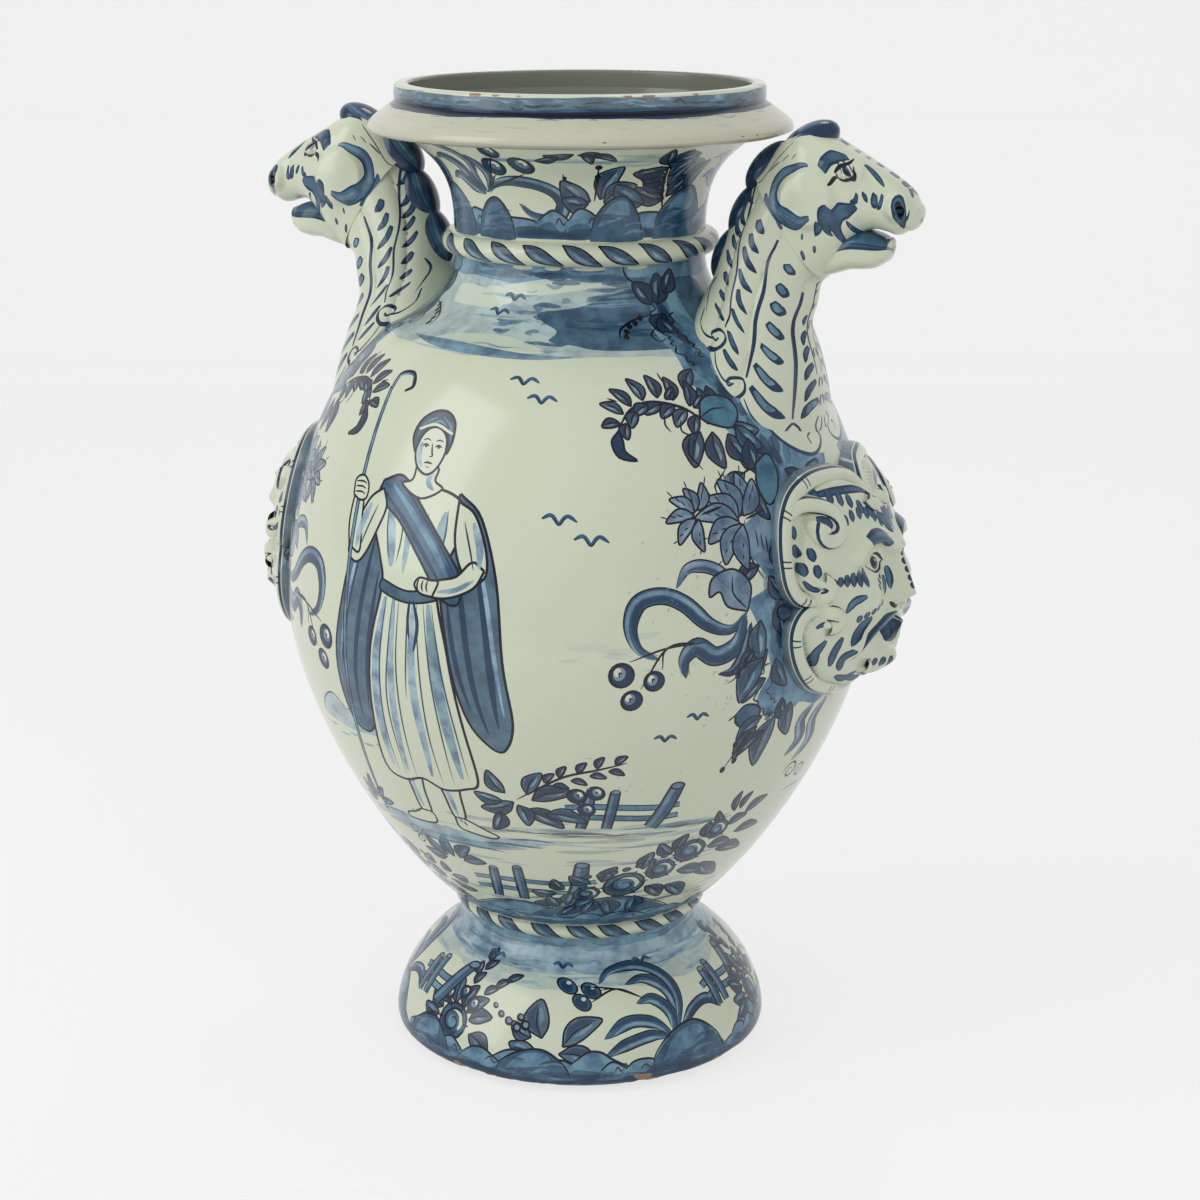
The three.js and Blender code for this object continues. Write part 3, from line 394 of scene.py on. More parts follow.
def streaks(turn, height, wide, tall, count, tone, strength=0.5, width=(3, 9)):
    """Loose level brush strokes of thin colour."""
    brush = on_wall(turn, height)
    for _ in range(count):
        x, y = RNG.uniform(-wide / 2, wide / 2), RNG.uniform(-tall / 2, tall / 2)
        run = RNG.uniform(0.12, 0.5) * wide
        a, b = max(x - run / 2, -wide / 2), min(x + run / 2, wide / 2)
        line = [(a, y), ((a + b) / 2, y + RNG.uniform(-1.5, 1.5)), (b, y + RNG.uniform(-1, 1))]
        brush.line(line, RNG.uniform(*width), tone, strength * RNG.uniform(0.6, 1), (0.3, 0.2), 4)


def band(low, high, tone, strength, wave=1.2):
    """Level band of colour all round, with slightly uneven edges."""
    count = 90
    turns = np.linspace(0, 1, count + 1)
    phase = [RNG.uniform(0, 2 * math.pi) for _ in range(6)]

    def edge(height, k):
        run = WALL_SHEET.run_at(height)
        uneven = sum(np.sin(2 * math.pi * turns * n + phase[k + i]) / (i + 1.5)
                     for i, n in enumerate((5, 11, 23)))
        return np.stack([turns * SHEET_WIDTH, run + wave * uneven * 0.5], 1)

    polygon = np.vstack([edge(low, 0), edge(high, 3)[::-1]])
    WALL_SHEET.strokes.append((polygon, (*tone, strength)))


# From sheets to meshes
def clip(polygon, axis, limit, keep_less):
    """Part of a polygon on one side of a level or upright line."""
    out = []
    sign = 1 if keep_less else -1
    for k in range(len(polygon)):
        a, b = polygon[k - 1], polygon[k]
        da, db = sign * (limit - a[axis]), sign * (limit - b[axis])
        if da * db < 0:
            out.append(a + (b - a) * (da / (da - db)))
        if db >= 0:
            out.append(b)
    return np.array(out) if len(out) > 2 else None


def covered(polygon, x, y):
    """Which places lie inside a polygon that may cross itself."""
    winding = np.zeros(len(x), int)
    following = np.roll(polygon, -1, axis=0)
    for (x0, y0), (x1, y1) in zip(polygon, following):
        if y0 == y1:
            continue
        side = (x1 - x0) * (y - y0) - (x - x0) * (y1 - y0)
        winding += ((y0 <= y) & (y1 > y) & (side > 0)).astype(int)
        winding -= ((y1 <= y) & (y0 > y) & (side < 0)).astype(int)
    return winding != 0


def split_long(polygon, reach):
    """The same polygon with its long sides cut into short ones, so that they bend with the surface."""
    out = []
    for a, b in zip(polygon, np.roll(polygon, -1, axis=0)):
        count = max(math.ceil(math.hypot(*(b - a)) / reach), 1)
        out += [a + (b - a) * k / count for k in range(count)]
    return np.array(out)


def round_the_seam(strokes):
    """Strokes of the wall, with a second copy of each one that runs over the seam."""
    out = []
    for polygon, paint in strokes:
        out.append((polygon, paint))
        for past, shift in ((polygon[:, 0].min() < -0.01, 1), (polygon[:, 0].max() > SHEET_WIDTH + 0.01, -1)):
            if past:
                out.append((polygon + (shift * SHEET_WIDTH, 0), paint))
    return out


def inlay(box, strokes, grid):
    """Flat mesh of a rectangle with the strokes cut into it, and the paint of each triangle."""
    (left, low), (right, high) = box
    columns = max(int(round((right - left) / grid[0])), 2)
    rows = max(int(round((high - low) / grid[1])), 2)
    xs, ys = np.linspace(left, right, columns + 1), np.linspace(low, high, rows + 1)
    gx, gy = np.meshgrid(xs, ys)
    coords = [tuple(p) for p in np.stack([gx.ravel(), gy.ravel()], 1)]
    edges = []
    kept = []
    for polygon, paint in strokes:
        if (polygon[:, 1].max() <= low or polygon[:, 1].min() >= high
                or polygon[:, 0].max() <= left or polygon[:, 0].min() >= right):
            continue
        for axis, limit, less in ((1, high, True), (1, low, False), (0, right, True), (0, left, False)):
            if polygon is not None:
                polygon = clip(polygon, axis, limit, less)
        if polygon is None:
            continue
        polygon = split_long(polygon, SIDE_REACH * max(grid))
        start = len(coords)
        coords += [tuple(p) for p in polygon]
        edges += [(start + k, start + (k + 1) % len(polygon)) for k in range(len(polygon))]
        kept.append((polygon, paint))
    result = delaunay_2d_cdt([Vector(p) for p in coords], edges, [], 0, MERGED, False)
    flat = np.array([tuple(v) for v in result[0]])
    faces = np.array([tuple(f) for f in result[2]], int)
    one, two = flat[faces[:, 1]] - flat[faces[:, 0]], flat[faces[:, 2]] - flat[faces[:, 0]]
    faces = faces[np.abs(one[:, 0] * two[:, 1] - one[:, 1] * two[:, 0]) > SLIVER]
    middle = flat[faces].mean(axis=1)
    paint = np.zeros((len(faces), 4))
    for polygon, (r, g, b, strength) in kept:
        low, high = polygon.min(axis=0), polygon.max(axis=0)
        near = np.nonzero(((middle > low) & (middle < high)).all(axis=1))[0]
        hit = near[covered(polygon, middle[near, 0], middle[near, 1])]
        before = paint[hit]
        alpha = strength + before[:, 3] * (1 - strength)
        for k, value in enumerate((r, g, b)):
            mixed = value * strength + before[:, k] * before[:, 3] * (1 - strength)
            paint[hit, k] = mixed / np.maximum(alpha, 1e-6)
        paint[hit, 3] = alpha
    return flat, faces, paint


def build_piece(name, parts, material, replaces, group="root"):
    """One Blender piece from parts of (points, faces, normals, stroke paint, and a soft tint per point that
    also holds painted shade).
    """
    points, faces, normals, paints, tints_and_painted_shade = [], [], [], [], []
    offset = 0
    for part in parts:
        points.append(part["points"])
        faces.append(part["faces"] + offset)
        normals.append(part["normals"])
        paints.append(part.get("paint", np.zeros((len(part["faces"]), 4))))
        tints_and_painted_shade.append(part.get("wash", np.zeros((len(part["points"]), 4))))
        offset += len(part["points"])
    points, faces = np.vstack(points) * MM, np.vstack(faces)
    normals, paints, tints_and_painted_shade = np.vstack(normals), np.vstack(paints), np.vstack(tints_and_painted_shade)
    mesh = bpy.data.meshes.new(name)
    mesh.vertices.add(len(points))
    mesh.vertices.foreach_set("co", points.ravel())
    mesh.loops.add(faces.size)
    mesh.loops.foreach_set("vertex_index", faces.ravel())
    mesh.polygons.add(len(faces))
    mesh.polygons.foreach_set("loop_start", np.arange(0, faces.size, 3))
    mesh.polygons.foreach_set("use_smooth", np.ones(len(faces), bool))
    mesh.update(calc_edges=True)
    stroke = mesh.attributes.new("stroke", "FLOAT_COLOR", "CORNER")
    stroke.data.foreach_set("color", np.repeat(paints, 3, axis=0).ravel())
    wash = mesh.attributes.new("wash", "FLOAT_COLOR", "POINT")
    wash.data.foreach_set("color", tints_and_painted_shade.ravel())
    mesh.materials.append(material)
    mesh.normals_split_custom_set_from_vertices([tuple(n) for n in normals])
    piece = bpy.data.objects.new(name, mesh)
    bpy.context.scene.collection.objects.link(piece)
    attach(piece, group)
    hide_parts(*replaces)
    return piece


def wall_part(name):
    """The painted outside of one turned piece."""
    along, line = WALL_SHEET.spans[name]
    low, high = along[0], along[-1]
    box = ((0, low), (SHEET_WIDTH, high))
    flat, faces, paint = inlay(box, round_the_seam(WALL_SHEET.strokes), (GRID * 1.2, GRID))
    turn = flat[:, 0] / SHEET_RADIUS + math.radians(SEAM_TURN)
    radius = np.interp(flat[:, 1], along, line[:, 0])
    height = np.interp(flat[:, 1], along, line[:, 1])
    slope = np.gradient(line, along, axis=0)
    out, up = np.interp(flat[:, 1], along, slope[:, 1]), -np.interp(flat[:, 1], along, slope[:, 0])
    size = np.hypot(out, up)
    points = np.stack([radius * np.cos(turn), radius * np.sin(turn), height], 1)
    normals = np.stack([out / size * np.cos(turn), out / size * np.sin(turn), up / size], 1)
    return {"points": points, "faces": faces, "normals": normals, "paint": paint}


def lathe_part(line, inward=True, tint=None):
    """Plain turned surface; inward ones look toward the axis."""
    line = np.asarray(line, float)
    along = directions(line)
    sign = -1 if inward else 1
    columns = 96
    turns = np.linspace(0, 2 * math.pi, columns + 1)
    points, normals = [], []
    for (r, z), (dr, dz) in zip(line, along):
        points.append(np.stack([r * np.cos(turns), r * np.sin(turns), np.full(columns + 1, z)], 1))
        normals.append(np.stack([sign * dz * np.cos(turns), sign * dz * np.sin(turns),
                                 np.full(columns + 1, -sign * dr)], 1))
    faces = []
    wide = columns + 1
    for j in range(len(line) - 1):
        for i in range(columns):
            a, b, c, d = j * wide + i, j * wide + i + 1, (j + 1) * wide + i + 1, (j + 1) * wide + i
            faces += [(a, c, b), (a, d, c)] if inward else [(a, b, c), (a, c, d)]
    part = {"points": np.vstack(points), "faces": np.array(faces), "normals": np.vstack(normals)}
    if tint is not None:
        part["wash"] = np.tile(np.array(tint, float), (len(part["points"]), 1))
    return part


def inner_line(name, shares):
    """Inside of a turned piece: its outline moved in by the wall's thickness."""
    line = OUTLINES[name]
    run = length_along(line)
    points = []
    for here in np.array(shares) * run[-1]:
        radius, height = places_at(here, run, line)
        dr, dz = places_at(min(here + 1, run[-1]), run, line) - places_at(max(here - 1, 0), run, line)
        points.append((radius - WALL * math.hypot(1, dr / dz), height))
    return points


# Painting of the turned wall
SCENERY_TURN = -66    # ground and sky of the front; the back repeats them half a turn on
FIGURE_TURN = -99
MOUTH_PLANT_TURN = -108
FOOT_PLANT_TURN = -34.7
CORDON_LEAVES = 22


def ring_berry(brush, x, y, r):
    """Dark berry with a pale crescent and a small curl."""
    brush.mark(oval(x, y, r), INK)
    brush.mark(oval(x - r * 0.08, y - r * 0.05, r * 0.78), DEEP)
    brush.mark(oval(x + r * 0.16, y + r * 0.12, r * 0.46, r * 0.52, 20), HAZE)
    brush.mark(oval(x + r * 0.3, y + r * 0.26, r * 0.26, r * 0.34, 20), CREAM)
    brush.line([(x - r * 0.1, y + r * 0.1), (x + r * 0.16, y + r * 0.2), (x + r * 0.12, y - r * 0.16)], 0.6)


def wall_area(places, tone, strength=1.0, steps=4):
    """Area of colour whose outline is given in turns and heights."""
    first = places[0][0]
    spots = []
    for turn, height in places:
        across = math.radians(turn - first) * SHEET_RADIUS
        spots.append(WALL_SHEET.lay(first, height, [(0, 0)])[0] + (across, 0))
    WALL_SHEET.strokes.append((spline(np.vstack([spots, spots[:1]]), steps)[:-1], (*tone, strength)))


def lobes(brush, points, size, width=0.8):
    """Edge of a leafy mass: small loops of ink in a row along a line."""
    line = spline(points, 8)
    run = length_along(line)
    left = leftward(line)
    here = 0.0
    while here < run[-1]:
        step = size * RNG.uniform(0.7, 1.3)
        ends = places_at([here, here + step / 2, here + step], run, line)
        ends[1] += places_at(here + step / 2, run, left) * step * 0.45
        brush.line(ends, width, INK, 0.95, (0.6, 0.6), 4)
        here += step


def rose(brush, x, y, r):
    """Round bloom drawn as a dark ring that winds inward."""
    brush.mark(oval(x, y, r), INK)
    brush.mark(oval(x, y, r * 0.88), SLATE)
    brush.line([(x + r * 0.62 * math.cos(a), y + r * 0.62 * math.sin(a)) for a in np.linspace(2.4, 5.6, 7)],
               r * 0.3, DEEP, 0.9)
    brush.line([(x + r * 0.6 * math.cos(a), y + r * 0.6 * math.sin(a)) for a in np.linspace(-0.6, 1.9, 7)],
               r * 0.26, CREAM, 0.9)
    brush.mark(oval(x + r * 0.05, y + r * 0.02, r * 0.34), WASH, 0.9)
    scroll(brush, x, y, r * 0.76, 1, 1.0)
    for a in range(0, 360, 60):
        tip = np.array([math.cos(math.radians(a)), math.sin(math.radians(a))]) * r
        brush.line([(x + tip[0] * 0.72, y + tip[1] * 0.72), (x + tip[0] * 1.12, y + tip[1] * 1.12)], 0.9)


def boulder(brush, long, high):
    """Large rock with a pale top, an ink edge and loose dark and pale strokes."""
    brush.closed([(-long, -1), (-long * 0.85, high * 0.45), (-long * 0.3, high * 0.9), (long * 0.3, high),
                  (long * 0.85, high * 0.5), (long * 1.05, -1)], SLATE, 1.0)
    brush.closed([(-long * 0.7, high * 0.3), (-long * 0.3, high * 0.8), (long * 0.3, high * 0.92),
                  (long * 0.5, high * 0.6), (0, high * 0.45)], WASH, 0.85)
    brush.line([(-long * 0.95, high * 0.2), (-long * 0.8, high * 0.55), (-long * 0.3, high * 0.93),
                (long * 0.3, high * 1.02), (long * 0.85, high * 0.55), (long * 1.05, 0)], 0.9)
    for _ in range(8):
        x, y = long * RNG.uniform(-0.6, 0.7), high * RNG.uniform(0.1, 0.7)
        brush.line([(x - 5, y - 1), (x, y + 0.6), (x + 6, y)], RNG.uniform(0.8, 2),
                   (DEEP, HAZE)[RNG.random() < 0.5], 0.6)


def chip(turn, height, wide):
    """Place where the glaze has come off and the clay shows."""
    places = []
    for a in np.linspace(0, 2 * math.pi, 8, endpoint=False):
        across = wide * (0.6 + 0.5 * RNG.random()) * math.cos(a)
        up = wide * (0.15 + 0.25 * RNG.random()) * math.sin(a)
        places.append((across, up))
    on_wall(turn, height).closed(places, CLAY, 0.95)


def paint_cordons():
    """Slanting leaf-shaped stripes on both cordons."""
    for low, high in ((Z_FOOT_TOP, Z_BELLY_BASE), (Z_NECK, Z_MOUTH)):
        for i in range(CORDON_LEAVES):
            turn = SEAM_TURN + 360 * (i + 0.5) / CORDON_LEAVES + RNG.uniform(-1.2, 1.2)
            brush = on_wall(turn, (low + high) / 2, RNG.uniform(-4, 3))
            leaf(brush, -11, 6.6, -31, 25, 7.6, SLATE, vein=False, bend=-0.03)


def paint_mouth():
    """Plants and streaks on the wall of the mouth, the same three times round."""
    for k in range(3):
        start = MOUTH_PLANT_TURN + 120 * k
        streaks(start + 46, 507, 120, 9, 9, WASH, 0.75, (1.4, 3.4))
        streaks(start + 66, 502, 60, 10, 5, SLATE, 0.6, (1.2, 2.6))
        # Ribbon plant with a curled leaf and berries
        brush = on_wall(start, 487)
        blade(brush, [(0, 0), (-4, 10), (-3, 20), (-9, 29), (-22, 35), (-34, 36)], 5)
        blade(brush, [(-1, 0), (-9, 8), (-14, 18), (-22, 23), (-31, 21)], 7.5)
        blade(brush, [(-1, -1), (-9, 3), (-18, 9), (-25, 7)], 6.5)
        blade(brush, [(0, 0), (7, 5), (17, 8), (30, 7), (40, 2), (43, -6), (37, -13), (26, -11), (19, -5)], 7)
        blade(brush, [(1, 1), (5, 9), (3, 18), (-2, 27)], 5.5)
        for x, y, r in ((13, 18, 7), (30, 20, 7), (18, 31, 6)):
            brush.line([(2, 2), (x - 4, y - 8), (x - 2, y - r)], 0.8)
            ring_berry(brush, x, y, r)
        # Sprig with stamens
        brush = on_wall(start + 48, 484)
        leaves(brush, [(-2, 0, 143, 20, 12), (3, 1, 62, 24, 12), (5, -1, 30, 20, 11), (-3, -1, 172, 14, 9)])
        brush.line([(0, 0), (1, 10), (1, 21)], 1.0)
        for x, y, r in ((1, 22, 2), (1, 15, 1.7), (-16, 14, 1.2)):
            brush.mark(oval(x, y, r), INK)
        brush.line([(-12, 10), (-16, 13), (-17, 17)], 0.8)
        # Dark leaves that hang from the lip, and the tall spray
        brush = on_wall(start + 40, 510)
        leaves(brush,
               [(0, 0, 186, 16), (-8, -2, 200, 13), (2, -1, 350, 16), (10, -1, 335, 13), (4, 0, 300, 10)],
               DEEP, width=5.5, vein=False)
        brush = on_wall(start + 80, 484)
        brush.line([(0, -6), (-3, 8), (-6, 24)], 1.4)
        brush.closed([(6, -6), (18, 4), (22, 20), (12, 26), (4, 12)], DEEP, 0.85)
        leaves(brush,
               [(0, 0, 160, 18), (-1, 4, 140, 18), (-2, 9, 150, 17), (-4, 14, 165, 16), (-5, 20, 190, 17),
                (1, 1, 40, 16), (0, 7, 55, 17), (-2, 13, 48, 17), (-4, 19, 65, 15), (-6, 22, 110, 13),
                (-5, 24, 20, 15)], by_angle(DEEP, SLATE, 5), width=9, grow=1.15)
        leaf(brush, 14, 2, 62, 24, 11, SLATE)
        leaf(brush, -12, -2, 150, 22, 12, SLATE)
        brush = on_wall(start, 463)
        rocks(brush, -22, 112, 1, 17, WASH)
        for x, long, high in ((2, 12, 20), (58, 14, 22), (92, 20, 25)):
            boulder(on_wall(start + x, 464), long, high)


def paint_shoulder():
    """Washes, streaks, birds and light spots of the shoulder, the same twice round."""
    band(408.5, 450, PALE, 0.7, 3)
    band(441, 450, WASH, 0.9, 2)
    for k in range(2):
        start = SCENERY_TURN + 180 * k
        wall_area([(start - 14, 423), (start - 16, 427), (start, 430), (start + 14, 436), (start + 34, 440),
                   (start + 62, 438), (start + 62, 412), (start + 38, 411), (start + 8, 411.5),
                   (start - 2, 413.5), (start - 10, 415), (start - 8, 419)], SLATE, 0.95)
        for shift, height in ((-20, 418), (-24, 422), (-18, 426), (-8, 414), (-6, 430), (4, 433)):
            streaks(start + shift, height, 34, 3, 4, SLATE, 0.85, (1.2, 3.4))
        wall_area([(start - 62, 427), (start - 34, 428), (start - 26, 433), (start - 6, 437),
                   (start + 12, 441), (start - 10, 444), (start - 40, 438), (start - 62, 436)], CREAM, 0.75)
        wall_area([(start - 58, 409), (start - 26, 410), (start - 10, 411), (start - 24, 416),
                   (start - 44, 415)], CREAM, 0.7)
        wall_area([(start - 62, 412), (start - 40, 412.5), (start - 16, 410), (start - 2, 409),
                   (start - 16, 407.5), (start - 44, 409)], WASH, 0.9)
        for shift, height, wide, tall, count, tone, strength, width in (
                (-20, 446, 74, 6, 10, DEEP, 0.6, (1.4, 3.4)), (10, 443, 60, 7, 9, SLATE, 0.8, (1.6, 4)),
                (20, 436, 60, 8, 10, SLATE, 0.55, (1, 2.6)), (22, 423, 66, 15, 22, DEEP, 0.4, (1.2, 3.6)),
                (28, 419, 64, 12, 7, WASH, 0.55, (0.8, 2.2)), (30, 418, 60, 12, 14, DEEP, 0.55, (0.8, 2.6)),
                (10, 421, 44, 10, 6, DEEP, 0.5, (0.8, 2)), (14, 430, 80, 14, 7, PALE, 0.5, (0.8, 1.6)),
                (-34, 424, 56, 14, 8, WASH, 0.7, (1, 3)), (-34, 436, 50, 6, 5, PALE, 0.8, (1, 2.4)),
                (-20, 412, 60, 4, 4, SLATE, 0.6, (0.8, 1.8))):
            streaks(start + shift, height, wide, tall, count, tone, strength, width)
        for turn, height in ((start - 28, 432), (start - 33, 425)):
            bird(on_wall(turn, height), 6)
        for shift in (-26, -12, 4, 26):
            on_wall(start + shift, 448.8).mark(oval(0, 0, RNG.uniform(4, 9), 1.1), CREAM, 0.95)


def foliage_column(handle, side):
    """Foliage beside a handle and its mask; x runs away from the handle."""
    def spot(shift, height):
        return on_wall(handle + side * shift, height, 0, 1, side < 0)

    def area(places, tone, strength=1.0):
        wall_area([(handle + side * shift, height) for shift, height in places], tone, strength)

    # Blue shade along the root of the handle and the edge of the mask
    edge = [(32, 447), (38, 440), (37, 428), (40, 420), (38.5, 408), (38, 397), (36, 390), (33, 374),
            (28, 361), (28, 348), (25, 337), (33, 328), (34, 317), (30, 302), (29, 295), (34, 289),
            (33, 281), (31, 268), (29, 250), (31, 239), (31, 229), (24, 219), (20, 226), (12, 222)]
    area(edge + [(8, 250), (12, 290), (12, 330), (4, 352), (12, 385), (20, 410), (22, 440)], WASH)
    for shift, height, wide, tall, count, tone in (
            (33, 428, 10, 24, 9, SLATE), (33, 405, 10, 34, 12, SLATE), (28, 376, 16, 26, 10, SLATE),
            (22, 357, 26, 10, 8, SLATE), (22, 340, 12, 20, 7, SLATE), (27, 292, 14, 26, 9, SLATE),
            (27, 262, 12, 26, 9, SLATE), (25, 236, 14, 20, 6, SLATE), (32, 418, 8, 30, 8, DEEP),
            (29, 388, 9, 24, 8, DEEP), (23, 360, 20, 8, 6, DEEP), (26, 278, 9, 40, 10, DEEP)):
        brush = spot(shift, height)
        for _ in range(count):
            x, y = RNG.uniform(-wide / 2, wide / 2), RNG.uniform(-tall / 2, tall / 2)
            run, lean = RNG.uniform(6, 14), RNG.uniform(-3, 3)
            brush.line([(x - lean, y - run / 2), (x, y), (x + lean, y + run / 2)], RNG.uniform(3, 7), tone,
                       RNG.uniform(0.6, 0.9), (0.4, 0.3))
    # Pale edge of the root, drawn on where it fades into the belly
    area([(26, 405), (23.5, 386), (19.5, 368), (13, 357), (5, 352), (-2, 352), (-2, 400), (10, 410)], CREAM)
    rim_places = ((26.5, 406), (24, 386), (20, 368), (14.5, 357.5), (9, 353), (5, 355), (3, 360), (5, 364),
                  (8.5, 362), (8, 358))
    rim = [WALL_SHEET.lay(handle + side * shift, height, [(0, 0)])[0] for shift, height in rim_places]
    WALL_SHEET.strokes.append((ribbon(rim, 2.0, (0.7, 0.5)), (*DEEP, 1.0)))
    area([(28, 250), (30, 238), (29, 229), (23, 222), (18, 230), (16, 250), (22, 258)], WASH, 0.9)
    area([(32, 328), (33, 318), (29, 304), (25, 306), (24, 326), (26, 334)], HAZE, 0.9)
    brush = spot(34, 415)
    lobes(brush, [(-1, 26), (3, 14), (2, 2), (4, -10), (0, -22)], 6)
    lobes(brush, [(-9, 18), (-6, 6), (-8, -6), (-8, -18)], 7)
    lobes(spot(30, 240), [(-2, 14), (4, 4), (2, -8), (-8, -16)], 6)
    lobes(spot(27, 243), [(2, 2), (4, -6), (-2, -12)], 5, 0.6)
    spot(33, 322).line([(0, 8), (3, -2), (-2, -14), (-8, -24)], 0.8)
    for k in range(4):
        spot(32, 318).line([(-3 - 3 * k, 6 - 2 * k), (-3.5 - 3 * k, -3 - 2 * k)], 0.6)
    for shift, height, angle, long, wide, tone in (
            (36, 402, 300, 17, 8, SLATE), (34, 394, 250, 15, 8, DEEP), (31, 376, 200, 18, 9, SLATE),
            (28, 368, 290, 17, 9, DEEP), (31, 352, 320, 18, 10, SLATE), (29, 342, 250, 16, 8, DEEP),
            (26, 318, 270, 18, 9, SLATE), (31, 306, 330, 18, 9, DEEP), (29, 300, 230, 18, 9, SLATE),
            (27, 286, 260, 20, 9, DEEP), (30, 262, 300, 20, 10, DEEP), (28, 256, 240, 20, 9, SLATE),
            (30, 246, 320, 18, 9, DEEP), (20, 350, 200, 18, 9, DEEP), (14, 347, 170, 16, 8, SLATE),
            (25, 232, 250, 16, 8, DEEP)):
        leaf(spot(shift, height), 0, 0, angle, long, wide, tone)
    # Dark leaves over the shoulder
    brush = spot(38, 428)
    leaves(brush,
           [(-6, 2, 100, 17, 12), (-2, 2, 60, 15, 11), (-8, -4, 300, 15, 11), (-4, -6, 250, 13, 10),
            (-12, 8, 120, 14, 10)], DEEP)
    brush.line([(0, -4), (10, -6), (20, -12), (24, -20)], 0.9)
    for x, y in ((7, -4), (11, -7), (15, -9), (18, -13), (20, -17)):
        brush.mark(oval(x, y - 1.5, 1.5, 2.2, 20), INK)
    for points in ([(4, 14), (9, 18), (11, 24)], [(0, -12), (6, -18), (4, -24), (-1, -22)]):
        brush.line(points, 0.8)
    # Arching spray of small dark leaves
    brush = spot(38.5, 380)
    brush.line([(-4, -4), (0, 0), (9, 7), (24, 11), (36, 7), (44, -2)], 1.3)
    for x, y, a, size, wide in (
            (-2, 3, 100, 14, 7), (4, 7, 98, 15, 7), (12, 11, 88, 14, 7), (20, 13, 82, 14, 7),
            (28, 12, 72, 14, 7), (35, 9, 52, 13, 6.5), (40, 5, 30, 12, 6), (43, 0, 350, 10, 5.5),
            (1, 2, 290, 12, 7), (6, 5, 315, 12, 7.5), (12, 8, 325, 11, 7), (19, 9, 335, 11, 7),
            (26, 9, 330, 10, 6.5), (33, 6, 300, 10, 6.5), (40, 0, 280, 9, 6), (2, 6, 135, 9, 5),
            (16, 12, 130, 9, 5)):
        leaf(brush, x, y, a, size, wide, DEEP if int(a) % 3 else SLATE)
    brush.closed([(45, -4), (50, -10), (48, -18), (39, -20), (44, -15), (44, -9)], DEEP, 1.0, INK, 0.8)
    for points in ([(19, 3), (20, -2), (18, -6)], [(11, 0), (12, -6), (7, -9)], [(30, 20), (32, 25)],
                   [(14, 22), (15, 28)], [(41, 12), (46, 14)]):
        brush.line(points, 0.7)
    # Round leaves and bells under it
    brush.closed([(0, 0), (-3, 9), (-10, 12), (-20, 9), (-24, 1), (-18, -7), (-6, -4)], TEAL, 1.0, INK, 0.9)
    brush.line([(0, 0), (-8, 4), (-16, 4)], 0.7)
    leaves(brush,
           [(2, -7, 292, 20, 12), (-5, -8, 262, 20, 11), (-14, -10, 240, 18, 11), (-20, -6, 225, 20, 11),
            (-26, -14, 262, 20, 11), (-30, -22, 235, 20, 12)], by_angle(DEEP, SLATE, 1))
    for points in ([(8, -8), (11, -18), (5, -27)], [(-8, -28), (-4, -32), (0, -36), (-1, -41)],
                   [(-12, -34), (-24, -30), (-33, -33), (-33, -38)], [(-6, -30), (-7, -42)]):
        brush.line(points, 0.8)
    for x, y in ((-7, -36), (-5, -44)):
        brush.mark(oval(x, y, 2.2, 5, 10), HAZE, 0.8)
    brush = spot(27, 350)
    brush.closed([(2, 6), (-8, 10), (-12, 0), (-8, -12), (-1, -16), (4, -6)], TEAL, 1.0, INK, 0.9)
    # Pale flowers with pointed petals
    for shift, height, size, turns in ((33.6, 330, 23, (92, 64, 36, 8, 336, 302, 270, 118)),
                                       (43, 335, 15, (104, 66, 32, 352, 310, 266))):
        brush = spot(shift, height)
        for a in turns:
            grow = size * RNG.uniform(0.85, 1.15)
            leaf(brush, math.cos(math.radians(a)) * 2, math.sin(math.radians(a)) * 2, a, grow, size * 0.46,
                 HAZE, vein=False)
            tip = np.array([math.cos(math.radians(a + 6)), math.sin(math.radians(a + 6))])
            for share in (0.5, 0.75, 1.05):
                brush.line([tip * grow * share, tip * (grow * share + 3.6) + (0, 1.2)], 0.5)
        brush.line([(-2, 0), (-14, 3)], 1.0)
    # Ribbon leaves with looped ends
    brush = spot(34.3, 284)
    blade(brush, [(1, 1), (6, 12), (18, 24), (32, 26), (40, 16)], 6.5, HAZE)
    brush.closed([(0, 0), (-3, 12), (2, 20), (10, 23), (20, 19), (22, 10), (16, 12), (12, 4)], HAZE, 0.95,
                 INK, 0.8)
    brush.line([(0, 1), (8, 10), (8, 19)], 0.7)
    blade(brush, [(0, 0), (10, -8), (23, -4), (36, 8), (48, 13), (60, 10), (65, -2), (61, -14), (50, -20)],
          8.5)
    blade(brush, [(1, -2), (8, -17), (20, -21), (30, -15), (37, -21), (36, -31)], 10, SLATE)
    blade(brush, [(-2, -6), (2, -20), (9, -30), (18, -31)], 6, DEEP)
    for x, y, r in ((70, -27, 7), (53, -31, 5.8), (64, -41, 6)):
        brush.line([(25, -13), (46, -14), (x - 4, y + r)], 0.8)
        ring_berry(brush, x, y, r)
    leaves(brush, [(-8, -6, 268, 22, 12), (-10, -26, 300, 27, 14), (-4, -22, 320, 12, 6)])
    for x, y in ((2, -28), (6, -33)):
        brush.line([(-4, -18), (x, y), (x + 6, y - 4)], 0.7)
        brush.mark(oval(x, y, 1.8, 2.4), INK)
